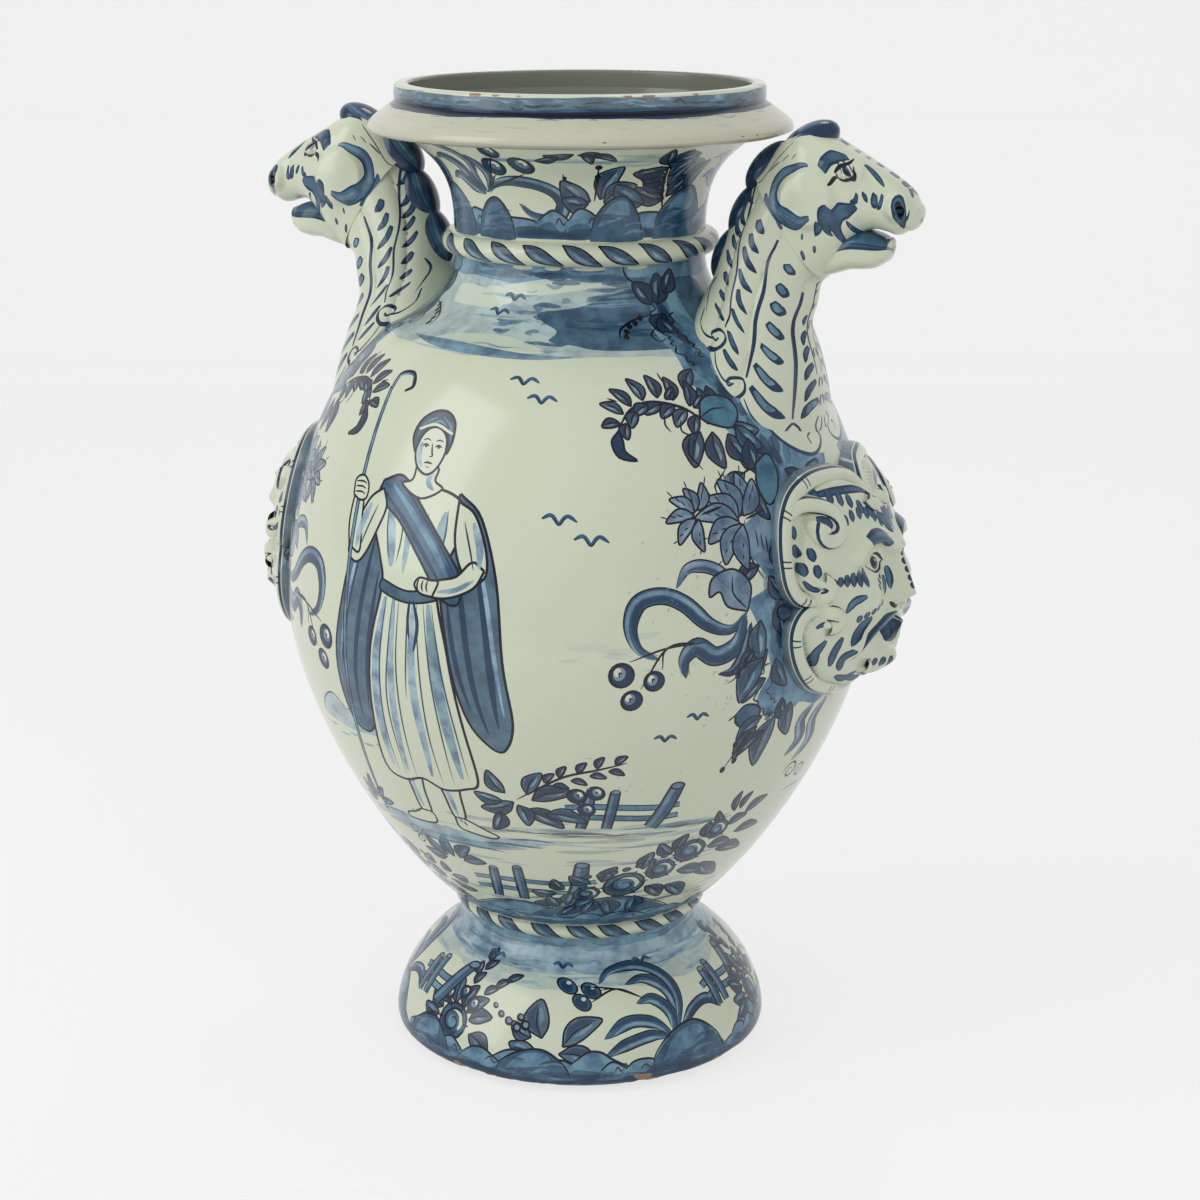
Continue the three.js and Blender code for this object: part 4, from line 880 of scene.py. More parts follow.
    # Bud and leaves below
    brush = spot(33, 226)
    brush.closed([(8, 2), (2, 7), (-7, 4), (-7, -4), (1, -7), (7, -3)], SLATE, 1.0, INK, 0.9)
    brush.line([(8, 2), (12, -1)], 0.8)
    for x, y, a, size, wide in (
            (-10, -2, 318, 19, 9), (-8, -8, 300, 22, 9), (-20, -4, 283, 32, 14), (-14, -12, 320, 20, 8),
            (-30, 2, 262, 22, 11)):
        leaf(brush, x, y, a, size, wide, SLATE if wide > 8.5 else DEEP)
    for x, y in ((4, -17), (2, -28), (8, -33)):
        brush.line([(-4, -8), (x - 2, y + 4), (x, y)], 0.7)
        brush.mark(oval(x, y, 1.7, 2.2), INK)
    brush = spot(14, 222)
    blade(brush, [(0, 0), (8, -10), (4, -22), (12, -32)], 8, HAZE)
    blade(brush, [(-14, 0), (-4, -12), (-8, -26), (2, -38)], 8, HAZE)
    for x, y, r in ((-2, -46, 7), (-14, -50, 6)):
        scroll(brush, x, y, r, 1, 1.0)


def ground_flowers(brush):
    """Chain of blooms, berries and leaves that climbs to the right."""
    leaves(brush,
           [(-44, -8, 190, 18, 9), (-38, -14, 235, 18, 10), (-24, -14, 280, 18, 11), (-8, -14, 262, 18, 10),
            (10, -10, 300, 22, 11), (26, -2, 318, 24, 12), (40, 10, 335, 22, 10), (52, 20, 350, 20, 8),
            (58, 34, 20, 18, 7), (12, 20, 120, 14, 8), (-32, 6, 140, 15, 8), (-50, -2, 160, 14, 8),
            (28, 2, 300, 18, 9), (44, 32, 110, 14, 6), (50, 40, 74, 15, 5), (54, 40, 52, 13, 5)],
           by_angle(SLATE, DEEP))
    leaves(brush,
           [(-26, 6, 60, 15, 9), (-4, 12, 70, 15, 9), (14, 22, 60, 14, 8), (-2, -6, 300, 18, 10),
            (16, 2, 330, 18, 10), (34, 16, 350, 16, 9), (-30, -12, 250, 16, 9), (32, 26, 80, 13, 7),
            (46, 30, 10, 14, 7), (-46, 2, 120, 13, 7)], by_angle(DEEP, SLATE))
    for x, y, r in ((-34, -4, 7.5), (-14, 0, 12), (6, 8, 9), (23, 18, 10), (39, 30, 8)):
        rose(brush, x, y, r)
    for k in range(8):
        x, y = -34 + 7 * k, 13 + 0.2 * k * k
        brush.mark(oval(x, y, 2.6, 2.2), INK)
        brush.mark(oval(x, y, 1.5, 1.2), SLATE)


def paint_ground():
    """Ground of the scenery on the belly, the same twice round."""
    for k in range(2):
        start = SCENERY_TURN + 180 * k
        for shift, height, wide, tall, count, tone in (
                (0, 163, 150, 8, 8, WASH), (0, 156, 170, 14, 9, PALE), (4, 151, 130, 10, 6, SLATE),
                (0, 138, 160, 12, 8, WASH),
                (84, 160, 140, 14, 9, WASH), (88, 148, 150, 14, 9, PALE), (-44, 150, 60, 10, 6, WASH),
                (10, 112, 110, 22, 8, PALE),
                (-40, 112, 70, 18, 8, PALE), (90, 112, 120, 20, 8, PALE)):
            streaks(start + shift, height, wide, tall, count, tone, 0.6, (1.0, 3.2))
        for shift, height, wide, tall, count, tone in (
                (14, 160, 110, 6, 12, SLATE), (0, 160, 120, 5, 6, DEEP), (-14, 104, 80, 12, 12, SLATE),
                (-14, 99, 70, 8, 5, DEEP), (30, 108, 70, 16, 10, SLATE), (30, 104, 60, 14, 6, DEEP)):
            streaks(start + shift, height, wide, tall, count, tone, 0.7, (1.0, 2.8))
        for shift, long, high in ((-22, 34, 26), (8, 42, 33), (70, 36, 28)):
            boulder(on_wall(start + shift, 85), long, high)
        fence(on_wall(start + 9, 164, -2), 62, 22)
        fence(on_wall(start - 13, 108, 3), 70, 26)
        brush = on_wall(start - 14, 184)
        brush.line([(2, -2), (16, 8), (30, 16), (46, 20), (62, 24)], 1.1)
        for x, y, a in ((10, 6, 60), (18, 11, 50), (26, 15, 62), (36, 18, 55), (46, 21, 60), (56, 23, 40),
                        (22, 9, 350), (32, 13, 340), (42, 16, 350), (52, 19, 340)):
            leaf(brush, x, y, a, 8.5, 4.2, DEEP, vein=False)
        leaves(brush,
               [(0, -4, 200, 20, 10), (4, -10, 330, 24, 11), (10, -2, 16, 24, 11), (8, 2, 60, 18, 9),
                (-4, 2, 120, 17, 9), (-8, -12, 250, 16, 9), (16, -12, 345, 22, 10), (2, -6, 285, 16, 9),
                (-6, -4, 165, 16, 8)], by_angle(SLATE, DEEP))
        for x, y, r in ((34, 2, 5.6), (44, 4, 5.2), (38, -8, 5)):
            ring_berry(brush, x, y, r)
        ground_flowers(on_wall(start + 20, 122, 10))
        ground_flowers(on_wall(start + 112, 118, -6, 0.9, True))
        fence(on_wall(start + 84, 150, 2), 54, 19)
        rocks(on_wall(start - 14, 86), -66, 66, 0, 14, WASH)
        rocks(on_wall(start + 44, 86), -50, 50, 0, 15, WASH)
        rocks(on_wall(start + 104, 86), -66, 66, 0, 13, WASH)
        brush = on_wall(start + 3, 98)
        leaves(brush, [(-16, 6, 120, 13), (-12, 8, 80, 14), (-8, 6, 40, 13)], width=7, vein=False)
        brush = on_wall(start - 36, 132)
        leaves(brush, [(0, 0, 90, 18), (4, 0, 50, 17), (-4, 0, 130, 17), (6, -2, 10, 15),
                       (-6, -2, 170, 15)], width=8, vein=False)
        for x, y in ((-14, 14), (-20, 8), (-22, 16)):
            scroll(brush, x, y, 4, 1, 0.8)
        brush = on_wall(start + 92, 172)
        leaves(brush, [(0, 0, 90, 20), (4, 0, 60, 18), (-4, 0, 120, 18), (7, -1, 30, 15),
                       (-7, -1, 150, 15)], by_angle(SLATE, DEEP), width=8)
        for x, y in ((22, 6), (28, 0), (20, -4)):
            ring_berry(brush, x, y, 4.4)


def draped_figure(brush):
    """Standing figure in a long tunic and a cloak, with a staff, drawn from its feet up."""
    def shape(points, tone, strength, width=1.0):
        brush.closed(points, tone, strength, INK, width, 5)

    # Cloak behind the body
    shape([(-22, 196), (-36, 178), (-46, 140), (-54, 98), (-50, 66), (-40, 56), (-30, 62), (-22, 90),
           (-16, 140)], SLATE, 0.95)
    shape([(24, 196), (38, 184), (50, 152), (55, 112), (58, 78), (50, 60), (40, 66), (32, 82), (24, 120),
           (18, 160)], SLATE, 0.95)
    for points, width, tone in (
            ([(-28, 184), (-38, 150), (-46, 110), (-45, 72)], 4.2, DEEP),
            ([(-24, 170), (-32, 130), (-38, 90), (-38, 64)], 3.4, DEEP),
            ([(-20, 150), (-26, 110), (-31, 74)], 3.0, DEEP),
            ([(-33, 172), (-42, 136), (-50, 96)], 2.4, PALE),
            ([(32, 182), (42, 150), (48, 112), (50, 74)], 4.4, DEEP),
            ([(28, 164), (34, 128), (40, 90), (44, 70)], 3.4, DEEP),
            ([(37, 172), (46, 140), (52, 104), (54, 82)], 2.4, PALE),
            ([(24, 140), (29, 112), (36, 84)], 2.8, DEEP)):
        brush.line(points, width, tone, 0.9, (0.2, 0.15))
    # Legs and feet
    for side, shin, foot in (
            (-1, [(-16, 40), (-15, 24), (-13.5, 8), (-7, 7), (-6, 24), (-5, 40)],
             [(-14, 8), (-20, 4), (-27, 1), (-26, -2.4), (-14, -2.4), (-6, 0), (-6.5, 7)]),
            (1, [(5, 40), (7, 22), (8.5, 8), (15, 8), (17, 24), (18, 40)],
             [(8.5, 8), (9, 0), (16, -3), (27, -5), (31, -3), (25, 1), (15.5, 7)])):
        shape(shin, CREAM, 0.9)
        brush.line([(shin[0][0] + 3 if side < 0 else shin[0][0] + 2, 38),
                    ((shin[1][0] + shin[4][0]) / 2 - 2, 24), (shin[2][0] + 2.4, 10)], 3.2, PALE, 0.8)
        shape(foot, CREAM, 0.95, 0.9)
        for k in (0.3, 0.6):
            a, b = foot[0], foot[2]
            brush.line([(a[0] + (b[0] - a[0]) * k, a[1] - 4 * k),
                        (a[0] + (b[0] - a[0]) * k + 1.5, a[1] - 8 * k - 1)], 1.2, SLATE)
    # Tunic
    tunic = [(-9, 197), (-24, 192), (-27, 176), (-20, 158), (-17, 143), (-24, 112), (-29, 70), (-30, 36),
             (-18, 29), (-4, 33), (8, 28), (22, 31), (31, 38), (30, 72), (25, 112), (18, 143), (22, 160),
             (29, 178), (25, 192), (11, 197), (1, 192)]
    shape(tunic, CREAM, 0.97, 1.1)
    for points, width, tone, strength in (
            ([(-14, 138), (-21, 100), (-24, 60), (-23, 38)], 6, PALE, 0.85),
            ([(-8, 138), (-11, 96), (-13, 56), (-13, 36)], 4.6, PALE, 0.8),
            ([(4, 138), (3, 96), (4, 56), (3, 36)], 5, PALE, 0.85),
            ([(13, 138), (18, 100), (21, 62), (22, 38)], 6.4, WASH, 0.8),
            ([(-16, 184), (-14, 170), (-12, 154)], 6, PALE, 0.8),
            ([(18, 186), (16, 170), (14, 152)], 6.5, WASH, 0.7),
            ([(-4, 180), (-3, 166), (-4, 152)], 3.5, PALE, 0.7)):
        brush.line(points, width, tone, strength, (0.3, 0.3))
    for points in (
            [(-13, 140), (-18, 104), (-21, 66), (-20, 34)], [(-9, 140), (-12, 110), (-16, 78), (-15, 33)],
            [(-5, 139), (-7, 100), (-8, 62), (-8, 33)], [(1, 139), (0, 110), (-2, 84)],
            [(6, 139), (8, 100), (8, 60), (9, 31)],
            [(10, 139), (14, 104), (16, 70), (16, 32)], [(15, 138), (21, 104), (25, 70), (26, 38)],
            [(-18, 186), (-17, 172), (-14, 158)], [(19, 187), (19, 172), (15, 156)],
            [(-8, 184), (-7, 170), (-9, 156)],
            [(8, 184), (8, 170), (9, 156)]):
        brush.line(points, 1.0, DEEP, 0.95, (0.2, 0.1))
    # Girdle
    shape([(-17.5, 147), (0, 143), (18.5, 147), (18.5, 141), (0, 137), (-17.5, 141)], SLATE, 0.95, 0.8)
    brush.line([(4, 139), (7, 126), (5, 112)], 2.2, DEEP)
    brush.line([(2, 139), (1, 128), (2, 118)], 1.8, DEEP)
    # Cloak over the breast
    shape([(-25, 197), (-12, 201), (2, 188), (18, 170), (30, 154), (30, 140), (20, 142), (6, 160),
           (-10, 178), (-26, 188)], SLATE, 0.97)
    for points, width, tone in (([(-18, 196), (-2, 183), (14, 166), (26, 148)], 3.4, WASH),
                                ([(-22, 191), (-6, 178), (8, 163), (22, 146)], 2.6, DEEP),
                                ([(-14, 199), (0, 187), (16, 170), (28, 153)], 1.6, DEEP)):
        brush.line(points, width, tone, 0.95, (0.3, 0.2))
    # Arm that holds the staff
    shape([(-24, 193), (-33, 186), (-41, 170), (-45, 157), (-38, 152), (-31, 158), (-24, 172), (-20, 184)],
          CREAM, 0.97)
    shape([(-45, 160), (-47, 172), (-45, 188), (-39, 190), (-37, 176), (-36, 158)], CREAM, 0.97)
    brush.line([(-31, 184), (-37, 170), (-39, 160)], 4.2, PALE, 0.85)
    brush.line([(-26, 184), (-32, 170), (-36, 160)], 1.0, DEEP)
    brush.line([(-42, 164), (-42, 176), (-41, 186)], 2.6, PALE, 0.85)
    # Staff
    brush.line([(-50, -6), (-46, 90), (-42, 190), (-40, 246)], 3.0, INK, 1.0, (0.9, 0.9))
    brush.line([(-50, -5), (-46, 90), (-42, 190), (-40, 245)], 1.5, WASH, 1.0, (0.9, 0.9))
    brush.line([(-40, 244), (-37, 254), (-28, 256), (-24, 249), (-29, 245)], 2.6, INK, 1.0, (0.9, 0.5))
    brush.line([(-40, 244), (-37, 253), (-28, 255), (-25, 249)], 1.2, WASH, 1.0, (0.9, 0.5))
    shape([(-47, 186), (-47, 194), (-41, 197), (-36, 193), (-36, 186), (-41, 184)], CREAM, 1.0, 0.9)
    for y in (187.5, 190.3, 193):
        brush.line([(-46.5, y), (-41, y + 0.8), (-37.5, y)], 0.7)
    # Arm that gathers the cloak
    shape([(24, 192), (34, 186), (42, 170), (44, 156), (37, 151), (30, 158), (25, 172)], CREAM, 0.97)
    shape([(43, 158), (38, 149), (26, 143), (15, 142), (12, 147), (18, 151), (28, 154), (36, 162)], CREAM,
          0.97)
    shape([(15, 142), (8, 143), (4, 147), (7, 151), (13, 150.5), (18, 150)], CREAM, 1.0, 0.9)
    brush.line([(34, 182), (39, 170), (40, 159)], 4.0, PALE, 0.85)
    brush.line([(29, 182), (34, 168), (37, 158)], 1.0, DEEP)
    brush.line([(38, 153), (28, 147), (18, 145)], 2.6, PALE, 0.85)
    for x in (6.5, 9.3, 12):
        brush.line([(x, 144), (x - 0.8, 147), (x, 150)], 0.7)
    # Neck and head
    shape([(-5, 208), (-6, 200), (-12, 197), (1, 191), (13, 197), (8, 201), (8, 208)], CREAM, 1.0, 0.9)
    brush.line([(6, 207), (4, 200), (8, 196)], 3.0, PALE, 0.85)
    shape([(-7.5, 222), (-8, 214), (-5, 207), (1, 203.5), (6, 206), (9.5, 213), (10, 222), (6, 230),
           (-2, 231)], CREAM, 1.0, 0.9)
    brush.line([(-5.5, 220), (-5, 212), (-2, 207)], 3.0, PALE, 0.8)
    shape([(-8.5, 214), (-12, 222), (-10, 231), (-3, 237), (5, 237.5), (11, 232), (12.5, 222), (10.5, 215),
           (9, 223), (4, 228), (-2, 228), (-6.5, 223)], DEEP, 0.95, 0.9)
    for points in ([(-10, 222), (-7, 230), (0, 234)], [(11, 222), (9, 230), (3, 234.5)],
                   [(-4, 230), (2, 232), (7, 229.5)]):
        brush.line(points, 1.5, WASH, 0.9, (0.2, 0.2))
    brush.line([(-9.6, 226.5), (0, 230), (11.4, 226)], 1.5, CREAM, 1.0, (0.8, 0.8))
    for x in (-2.6, 5.2):
        brush.line([(x - 2.2, 218.2), (x, 219.1), (x + 2.1, 218.3)], 0.75)
        brush.mark(oval(x + 0.2, 218.1, 0.75), INK)
        brush.line([(x - 2.5, 221), (x, 222), (x + 2.5, 221.2)], 0.8, DEEP)
    brush.line([(1.0, 220), (2.1, 215.4), (2.8, 213.4), (1.0, 212.8)], 0.7)
    brush.line([(-1.4, 209.4), (1.2, 209.8), (3.9, 209.3)], 0.8)
    brush.line([(0.2, 207.6), (1.4, 207.3), (2.6, 207.6)], 0.6, SLATE)


def paint_figures():
    """A draped figure on the front and another on the back, each on its own strip of ground."""
    for start, flip in ((FIGURE_TURN, False), (FIGURE_TURN + 180, True)):
        brush = on_wall(start, 157, 0, 1.0, flip)
        brush.line([(-66, -8), (-30, -5), (10, -8), (58, -6)], 10, PALE, 0.8, (0.2, 0.1))
        brush.line([(-52, -12), (-10, -13), (44, -11)], 7, WASH, 0.75, (0.2, 0.1))
        for x, y, run in ((-50, -3, 24), (20, -9, 34), (-12, -15, 44), (36, -4, 26), (-34, -17, 30)):
            brush.line([(x, y), (x + run / 2, y + 1), (x + run, y - 0.6)], 1.6, SLATE, 0.85, (0.3, 0.1))
        for x, y, run in ((-60, 4, 20), (44, 4, 18), (-64, -9, 14)):
            brush.line([(x, y), (x + run / 2, y - 1), (x + run, y)], 1.0, DEEP, 0.8, (0.3, 0.1))
        far = on_wall(start + (-21 if not flip else 21), 214, 0, 1.0, flip)
        far.mark(spline([(-30, -8), (-22, 4), (-8, 10), (6, 3), (20, 7), (34, -6), (2, -10)], 4), PALE, 0.75)
        for points in ([(-28, -6), (-20, 4), (-8, 10), (4, 4)], [(4, 3), (18, 7), (32, -5)],
                       [(-14, 2), (-8, -4)], [(12, 3), (18, -4)]):
            far.line(points, 0.8, INK, 0.85)
        for k in range(5):
            far.line([(-26 + 12 * k, -14 - 3 * (k % 2)), (-16 + 12 * k, -13 - 3 * (k % 2))], 1.8, WASH, 0.7)
        draped_figure(brush)
        plant = on_wall(start - 6 if not flip else start + 6, 158, 0, 1.0, flip)
        leaves(plant,
               [(-42, 0, 120, 15), (-40, 2, 90, 17), (-37, 0, 60, 14), (-44, -2, 160, 11),
                (-35, -2, 25, 11)], width=5.5, vein=False)


def paint_sky():
    """Birds over the scenery, and a pale haze below them."""
    for turn, height, size in (
            (-80, 397, 7.5), (-75, 389, 7.5), (-70, 333, 8.5), (-64, 323, 8.5), (-44, 229, 6),
            (-50, 218, 6)):
        bird(on_wall(turn, height), size)
        bird(on_wall(turn + 180, height), size)
    for turn in (-62, 118):
        streaks(turn, 268, 60, 20, 6, PALE, 0.3, (1.5, 4))


def paint_foot():
    """Washes, plants, rocks, birds and chips of the foot."""
    band(48, 71, PALE, 0.55, 6)
    band(54, 71, PALE, 0.85, 4)
    band(65, 71, WASH, 0.9, 1.5)
    for k in range(6):
        turn = SEAM_TURN + 60 * k + 20
        streaks(turn, 53, 86, 16, 9, PALE, 0.7, (1.0, 3.4))
        streaks(turn + 30, 58, 86, 14, 10, TEAL, 0.5, (1.0, 2.8))
        streaks(turn + 20, 54, 70, 12, 5, CREAM, 0.6, (0.8, 2.0))
        streaks(turn + 30, 66, 60, 6, 5, SLATE, 0.6, (1.0, 2.4))
        streaks(turn + 10, 40, 60, 10, 3, CLAY, 0.14, (0.6, 1.2))
    for k in range(3):
        start = FOOT_PLANT_TURN + 120 * k
        # Ribbon plant with berries on a rock
        brush = on_wall(start, 24)
        for points, width in (
                ([(0, 0), (5, 14), (2, 26), (-8, 34), (-20, 32)], 7.5),
                ([(2, 0), (8, 18), (4, 34), (-8, 43), (-24, 42), (-34, 34)], 6.5),
                ([(0, 0), (0, 12), (-8, 21), (-18, 20)], 7), ([(-2, 0), (-12, 8), (-26, 10), (-42, 2)], 7),
                ([(-2, -2), (-14, 1), (-30, -2), (-44, -8)], 6.5),
                ([(4, 0), (16, 10), (28, 12), (38, 4)], 6)):
            blade(brush, points, width)
        for x, y, r in ((-40, 30, 5.6), (-52, 33, 5.6), (-48, 23, 5.4)):
            brush.line([(-12, 22), (-26, 30), (x + r, y)], 0.8)
            berry(brush, x, y, r)
        # Three broad leaves with a berry spray
        brush = on_wall(start - 40, 24)
        leaves(brush,
               [(-6, 2, 96, 22, 15), (6, -2, 36, 26, 13), (4, -6, 344, 24, 11), (-10, -4, 176, 15, 10),
                (-12, 2, 150, 14, 9), (-4, -8, 240, 14, 9)])
        for x, y, r in ((-16, 8, 3), (-21, 6, 2.8), (-26, 9, 2.6), (-19, 12, 2.4), (-31, 12, 2.2),
                        (-35, 16, 1.8)):
            brush.mark(oval(x, y, r), INK)
            brush.mark(oval(x + 0.3, y + 0.3, r * 0.5), HAZE)
        # Bloom with a wreath of leaves
        brush = on_wall(start - 76, 24)
        for a in range(20, 200, 26):
            leaf(brush, 12 * math.cos(math.radians(a)), 10 * math.sin(math.radians(a)), a, 15, 9,
                 (SLATE, DEEP)[a % 3 == 0])
        leaf(brush, -14, -2, 200, 15, 9, SLATE)
        leaf(brush, 14, -4, 330, 17, 11, SLATE)
        rose(brush, 0, 0, 11)
        for x, y, r in ((10, 13, 4.5), (-10, 14, 4.5), (1, 18, 4)):
            ring_berry(brush, x, y, r)
        for x, y, a in ((4, 24, 70), (3, 30, 110), (5, 34, 60), (4, 40, 88), (14, 20, 40), (19, 25, 50),
                        (23, 30, 45)):
            leaf(brush, x, y, a, 9, 5.5, DEEP, vein=False)
        # Fence on the next rock
        fence(on_wall(start + 28, 30, 4), 34, 20)
        rocks(on_wall(start - 44, 3), -30, 30, 0, 19, WASH)
        rocks(on_wall(start - 82, 3), -30, 36, 0, 16, WASH)
        rocks(on_wall(start - 4, 3), -40, 40, 0, 13, WASH)
        for shift, long, high in ((4, 26, 25), (34, 20, 19), (-46, 22, 17)):
            boulder(on_wall(start + shift, 3), long, high)
        for shift in (-3, -36, 33):
            bird(on_wall(start - 36 + shift, 56 if shift else 52), 5.5)
    for k in range(12):
        streaks(SEAM_TURN + 30 * k, 5, 60, 8, 7, DEEP, 0.7, (2, 5))
        streaks(SEAM_TURN + 30 * k + 12, 6, 50, 6, 3, HAZE, 0.5, (0.8, 2))
    band(-1, 4, DEEP, 0.85, 1.5)
    for turn, height, wide in (
            (-112, 1.5, 3), (-106, 2.5, 4), (-90, 0.6, 5), (-71, 0.8, 3), (-47, 4, 7), (-44, 1.2, 4),
            (-20, 2, 3), (70, 2, 5), (140, 1, 4)):
        chip(turn, height, wide)


def paint_specks():
    """Faint blue specks and scuffs in the glaze of the belly."""
    for turn, height, wide, tall, count in (
            (-47, 292, 50, 60, 34), (-40, 240, 40, 40, 22), (-58, 190, 50, 30, 12), (-27, 200, 30, 30, 8),
            (60, 280, 60, 90, 30), (118, 250, 60, 90, 30)):
        brush = on_wall(turn, height)
        for _ in range(count):
            x, y = wide * RNG.gauss(0, 0.3), tall * RNG.gauss(0, 0.3)
            brush.mark(oval(x, y, RNG.uniform(0.4, 1.7), RNG.uniform(0.3, 0.9), RNG.uniform(0, 180), 6),
                       HAZE, RNG.uniform(0.25, 0.6))


def paint_lip():
    """Bands, streaks and chips of the lip and the rim."""
    band(514, 531.5, shade("c4c0ab"), 0.85, 0.3)
    band(514, 516.5, shade("9c8c78"), 0.45, 0.8)
    band(528.4, 533, DEEP, 1.0, 1.6)
    band(529.2, 531.6, INK, 0.9, 0.8)
    band(531.8, 538.6, SLATE, 0.9, 0.8)
    for k in range(18):
        turn = SEAM_TURN + 20 * k
        streaks(turn, 536.6, 44, 2.4, 4, PALE, 0.7, (0.7, 1.6))
        streaks(turn + 8, 534, 40, 3, 4, DEEP, 0.7, (0.7, 1.6))
        streaks(turn + 4, 524, 36, 6, 2, HAZE, 0.3, (0.7, 1.8))
        streaks(turn + 14, 528, 30, 1.4, 2, SLATE, 0.7, (0.6, 1.2))
    for turn, wide in ((-98, 4), (-91, 2.5), (-84, 1.5), (-52, 3), (-46, 4), (-30, 2), (10, 3), (60, 4),
                       (95, 3), (150, 4), (170, 2.5)):
        chip(turn, 539.2, wide)
    for turn in (-20, -14, -60, 40, 120):
        chip(turn, 518, 1.6)


paint_shoulder()
paint_sky()
paint_ground()
paint_figures()
for handle_turn in (0, 180):
    for handle_side in (-1, 1):
        foliage_column(handle_turn, handle_side)
paint_foot()
paint_mouth()
paint_lip()
paint_cordons()
paint_specks()


# Materials
POOLED = (0.38, 0.46, 0.58)    # how gathered paint darkens, in red, green and blue
THIN_PAINT = 0.5    # least cover that the bristles leave


def add_node(tree, kind, values=(), links=(), **settings):
    """New shader node with its settings, and its constants and incoming links by socket."""
    node = tree.nodes.new("ShaderNode" + kind)
    for name, value in settings.items():
        setattr(node, name, value)
    for socket, value in dict(values).items():
        node.inputs[socket].default_value = value
    for socket, (source, out) in dict(links).items():
        tree.links.new(source.outputs[out], node.inputs[socket])
    return node


def glaze(name):
    """White tin glaze that shows the painted marks of the mesh and its soft tints, some of which are painted
    shade.
    """
    material = bpy.data.materials.new(name)
    material.use_nodes = True
    tree = material.node_tree
    place = add_node(tree, "TexCoord")

    def noise(**values):
        return add_node(tree, "TexNoise", values, {"Vector": (place, "Object")})

    def ranged(source, out, low, high, least=0.0):
        values = {"From Min": low, "From Max": high, "To Min": least}
        return add_node(tree, "MapRange", values, {"Value": (source, out)})

    def maths(operation, first, second):
        return add_node(tree, "Math", (), {0: first, 1: second}, operation=operation)

    darker = (*[c * 0.93 for c in CREAM], 1)
    lighter = (*[min(c * 1.05, 0.9) for c in CREAM], 1)
    last = add_node(tree, "Mix", {"A": darker, "B": lighter}, {"Factor": (noise(Scale=9, Detail=4), "Fac")},
                    data_type="RGBA")
    cover = ranged(noise(Scale=130, Detail=5, Roughness=0.65), "Fac", 0.3, 0.7, THIN_PAINT)
    # Where blue paint has gathered, its colour is deeper
    pools = ranged(noise(Scale=85, Detail=4, Roughness=0.6), "Fac", 0.4, 0.62)
    # First the soft tint, which also holds painted shade, then the stroke marks, each laid over what is there
    for attribute in ("wash", "stroke"):
        paint = add_node(tree, "Attribute", attribute_name=attribute)
        solid = ranged(paint, "Alpha", 0.55, 1.0)
        even = add_node(tree, "Mix", {"B": 1.0}, {"Factor": (solid, "Result"), "A": (cover, "Result")})
        shares = add_node(tree, "SeparateColor", (), {"Color": (paint, "Color")})
        more_blue = maths("SUBTRACT", (shares, "Blue"), (shares, "Red"))
        blueness = ranged(more_blue, "Value", 0.02, 0.16)
        pooled = maths("MULTIPLY", (pools, "Result"), (blueness, "Result"))
        tone = add_node(tree, "Mix", {"B": (*POOLED, 1)},
                        {"Factor": (pooled, "Value"), "A": (paint, "Color")}, data_type="RGBA",
                        blend_type="MULTIPLY")
        strength = maths("MULTIPLY", (paint, "Alpha"), (even, "Result"))
        links = {"Factor": (strength, "Value"), "A": (last, "Result"), "B": (tone, "Result")}
        last = add_node(tree, "Mix", (), links, data_type="RGBA")
    ripple = noise(Scale=60, Detail=2)
    uneven = add_node(tree, "Bump", {"Strength": 0.12, "Distance": 0.0008}, {"Height": (ripple, "Fac")})
    shader = tree.nodes["Principled BSDF"]
    shader.inputs["Roughness"].default_value = 0.16
    shader.inputs["Specular IOR Level"].default_value = 0.5
    tree.links.new(last.outputs["Result"], shader.inputs["Base Color"])
    tree.links.new(uneven.outputs["Normal"], shader.inputs["Normal"])
    return material


GLAZE = glaze("painted glaze")
# Inside walls: their glaze darkened as painted shade; under the foot, bare clay
INSIDE_PAINTED_SHADE = (*shade("7e8272"), 1.0)
BARE_CLAY = (*shade("c9b199"), 0.8)


# Turned pieces
LIP_BORE = RIM_BORE - 3
AXIS_HOLE = 0.1    # radius at which flat rounds stop, so that no triangle loses its area


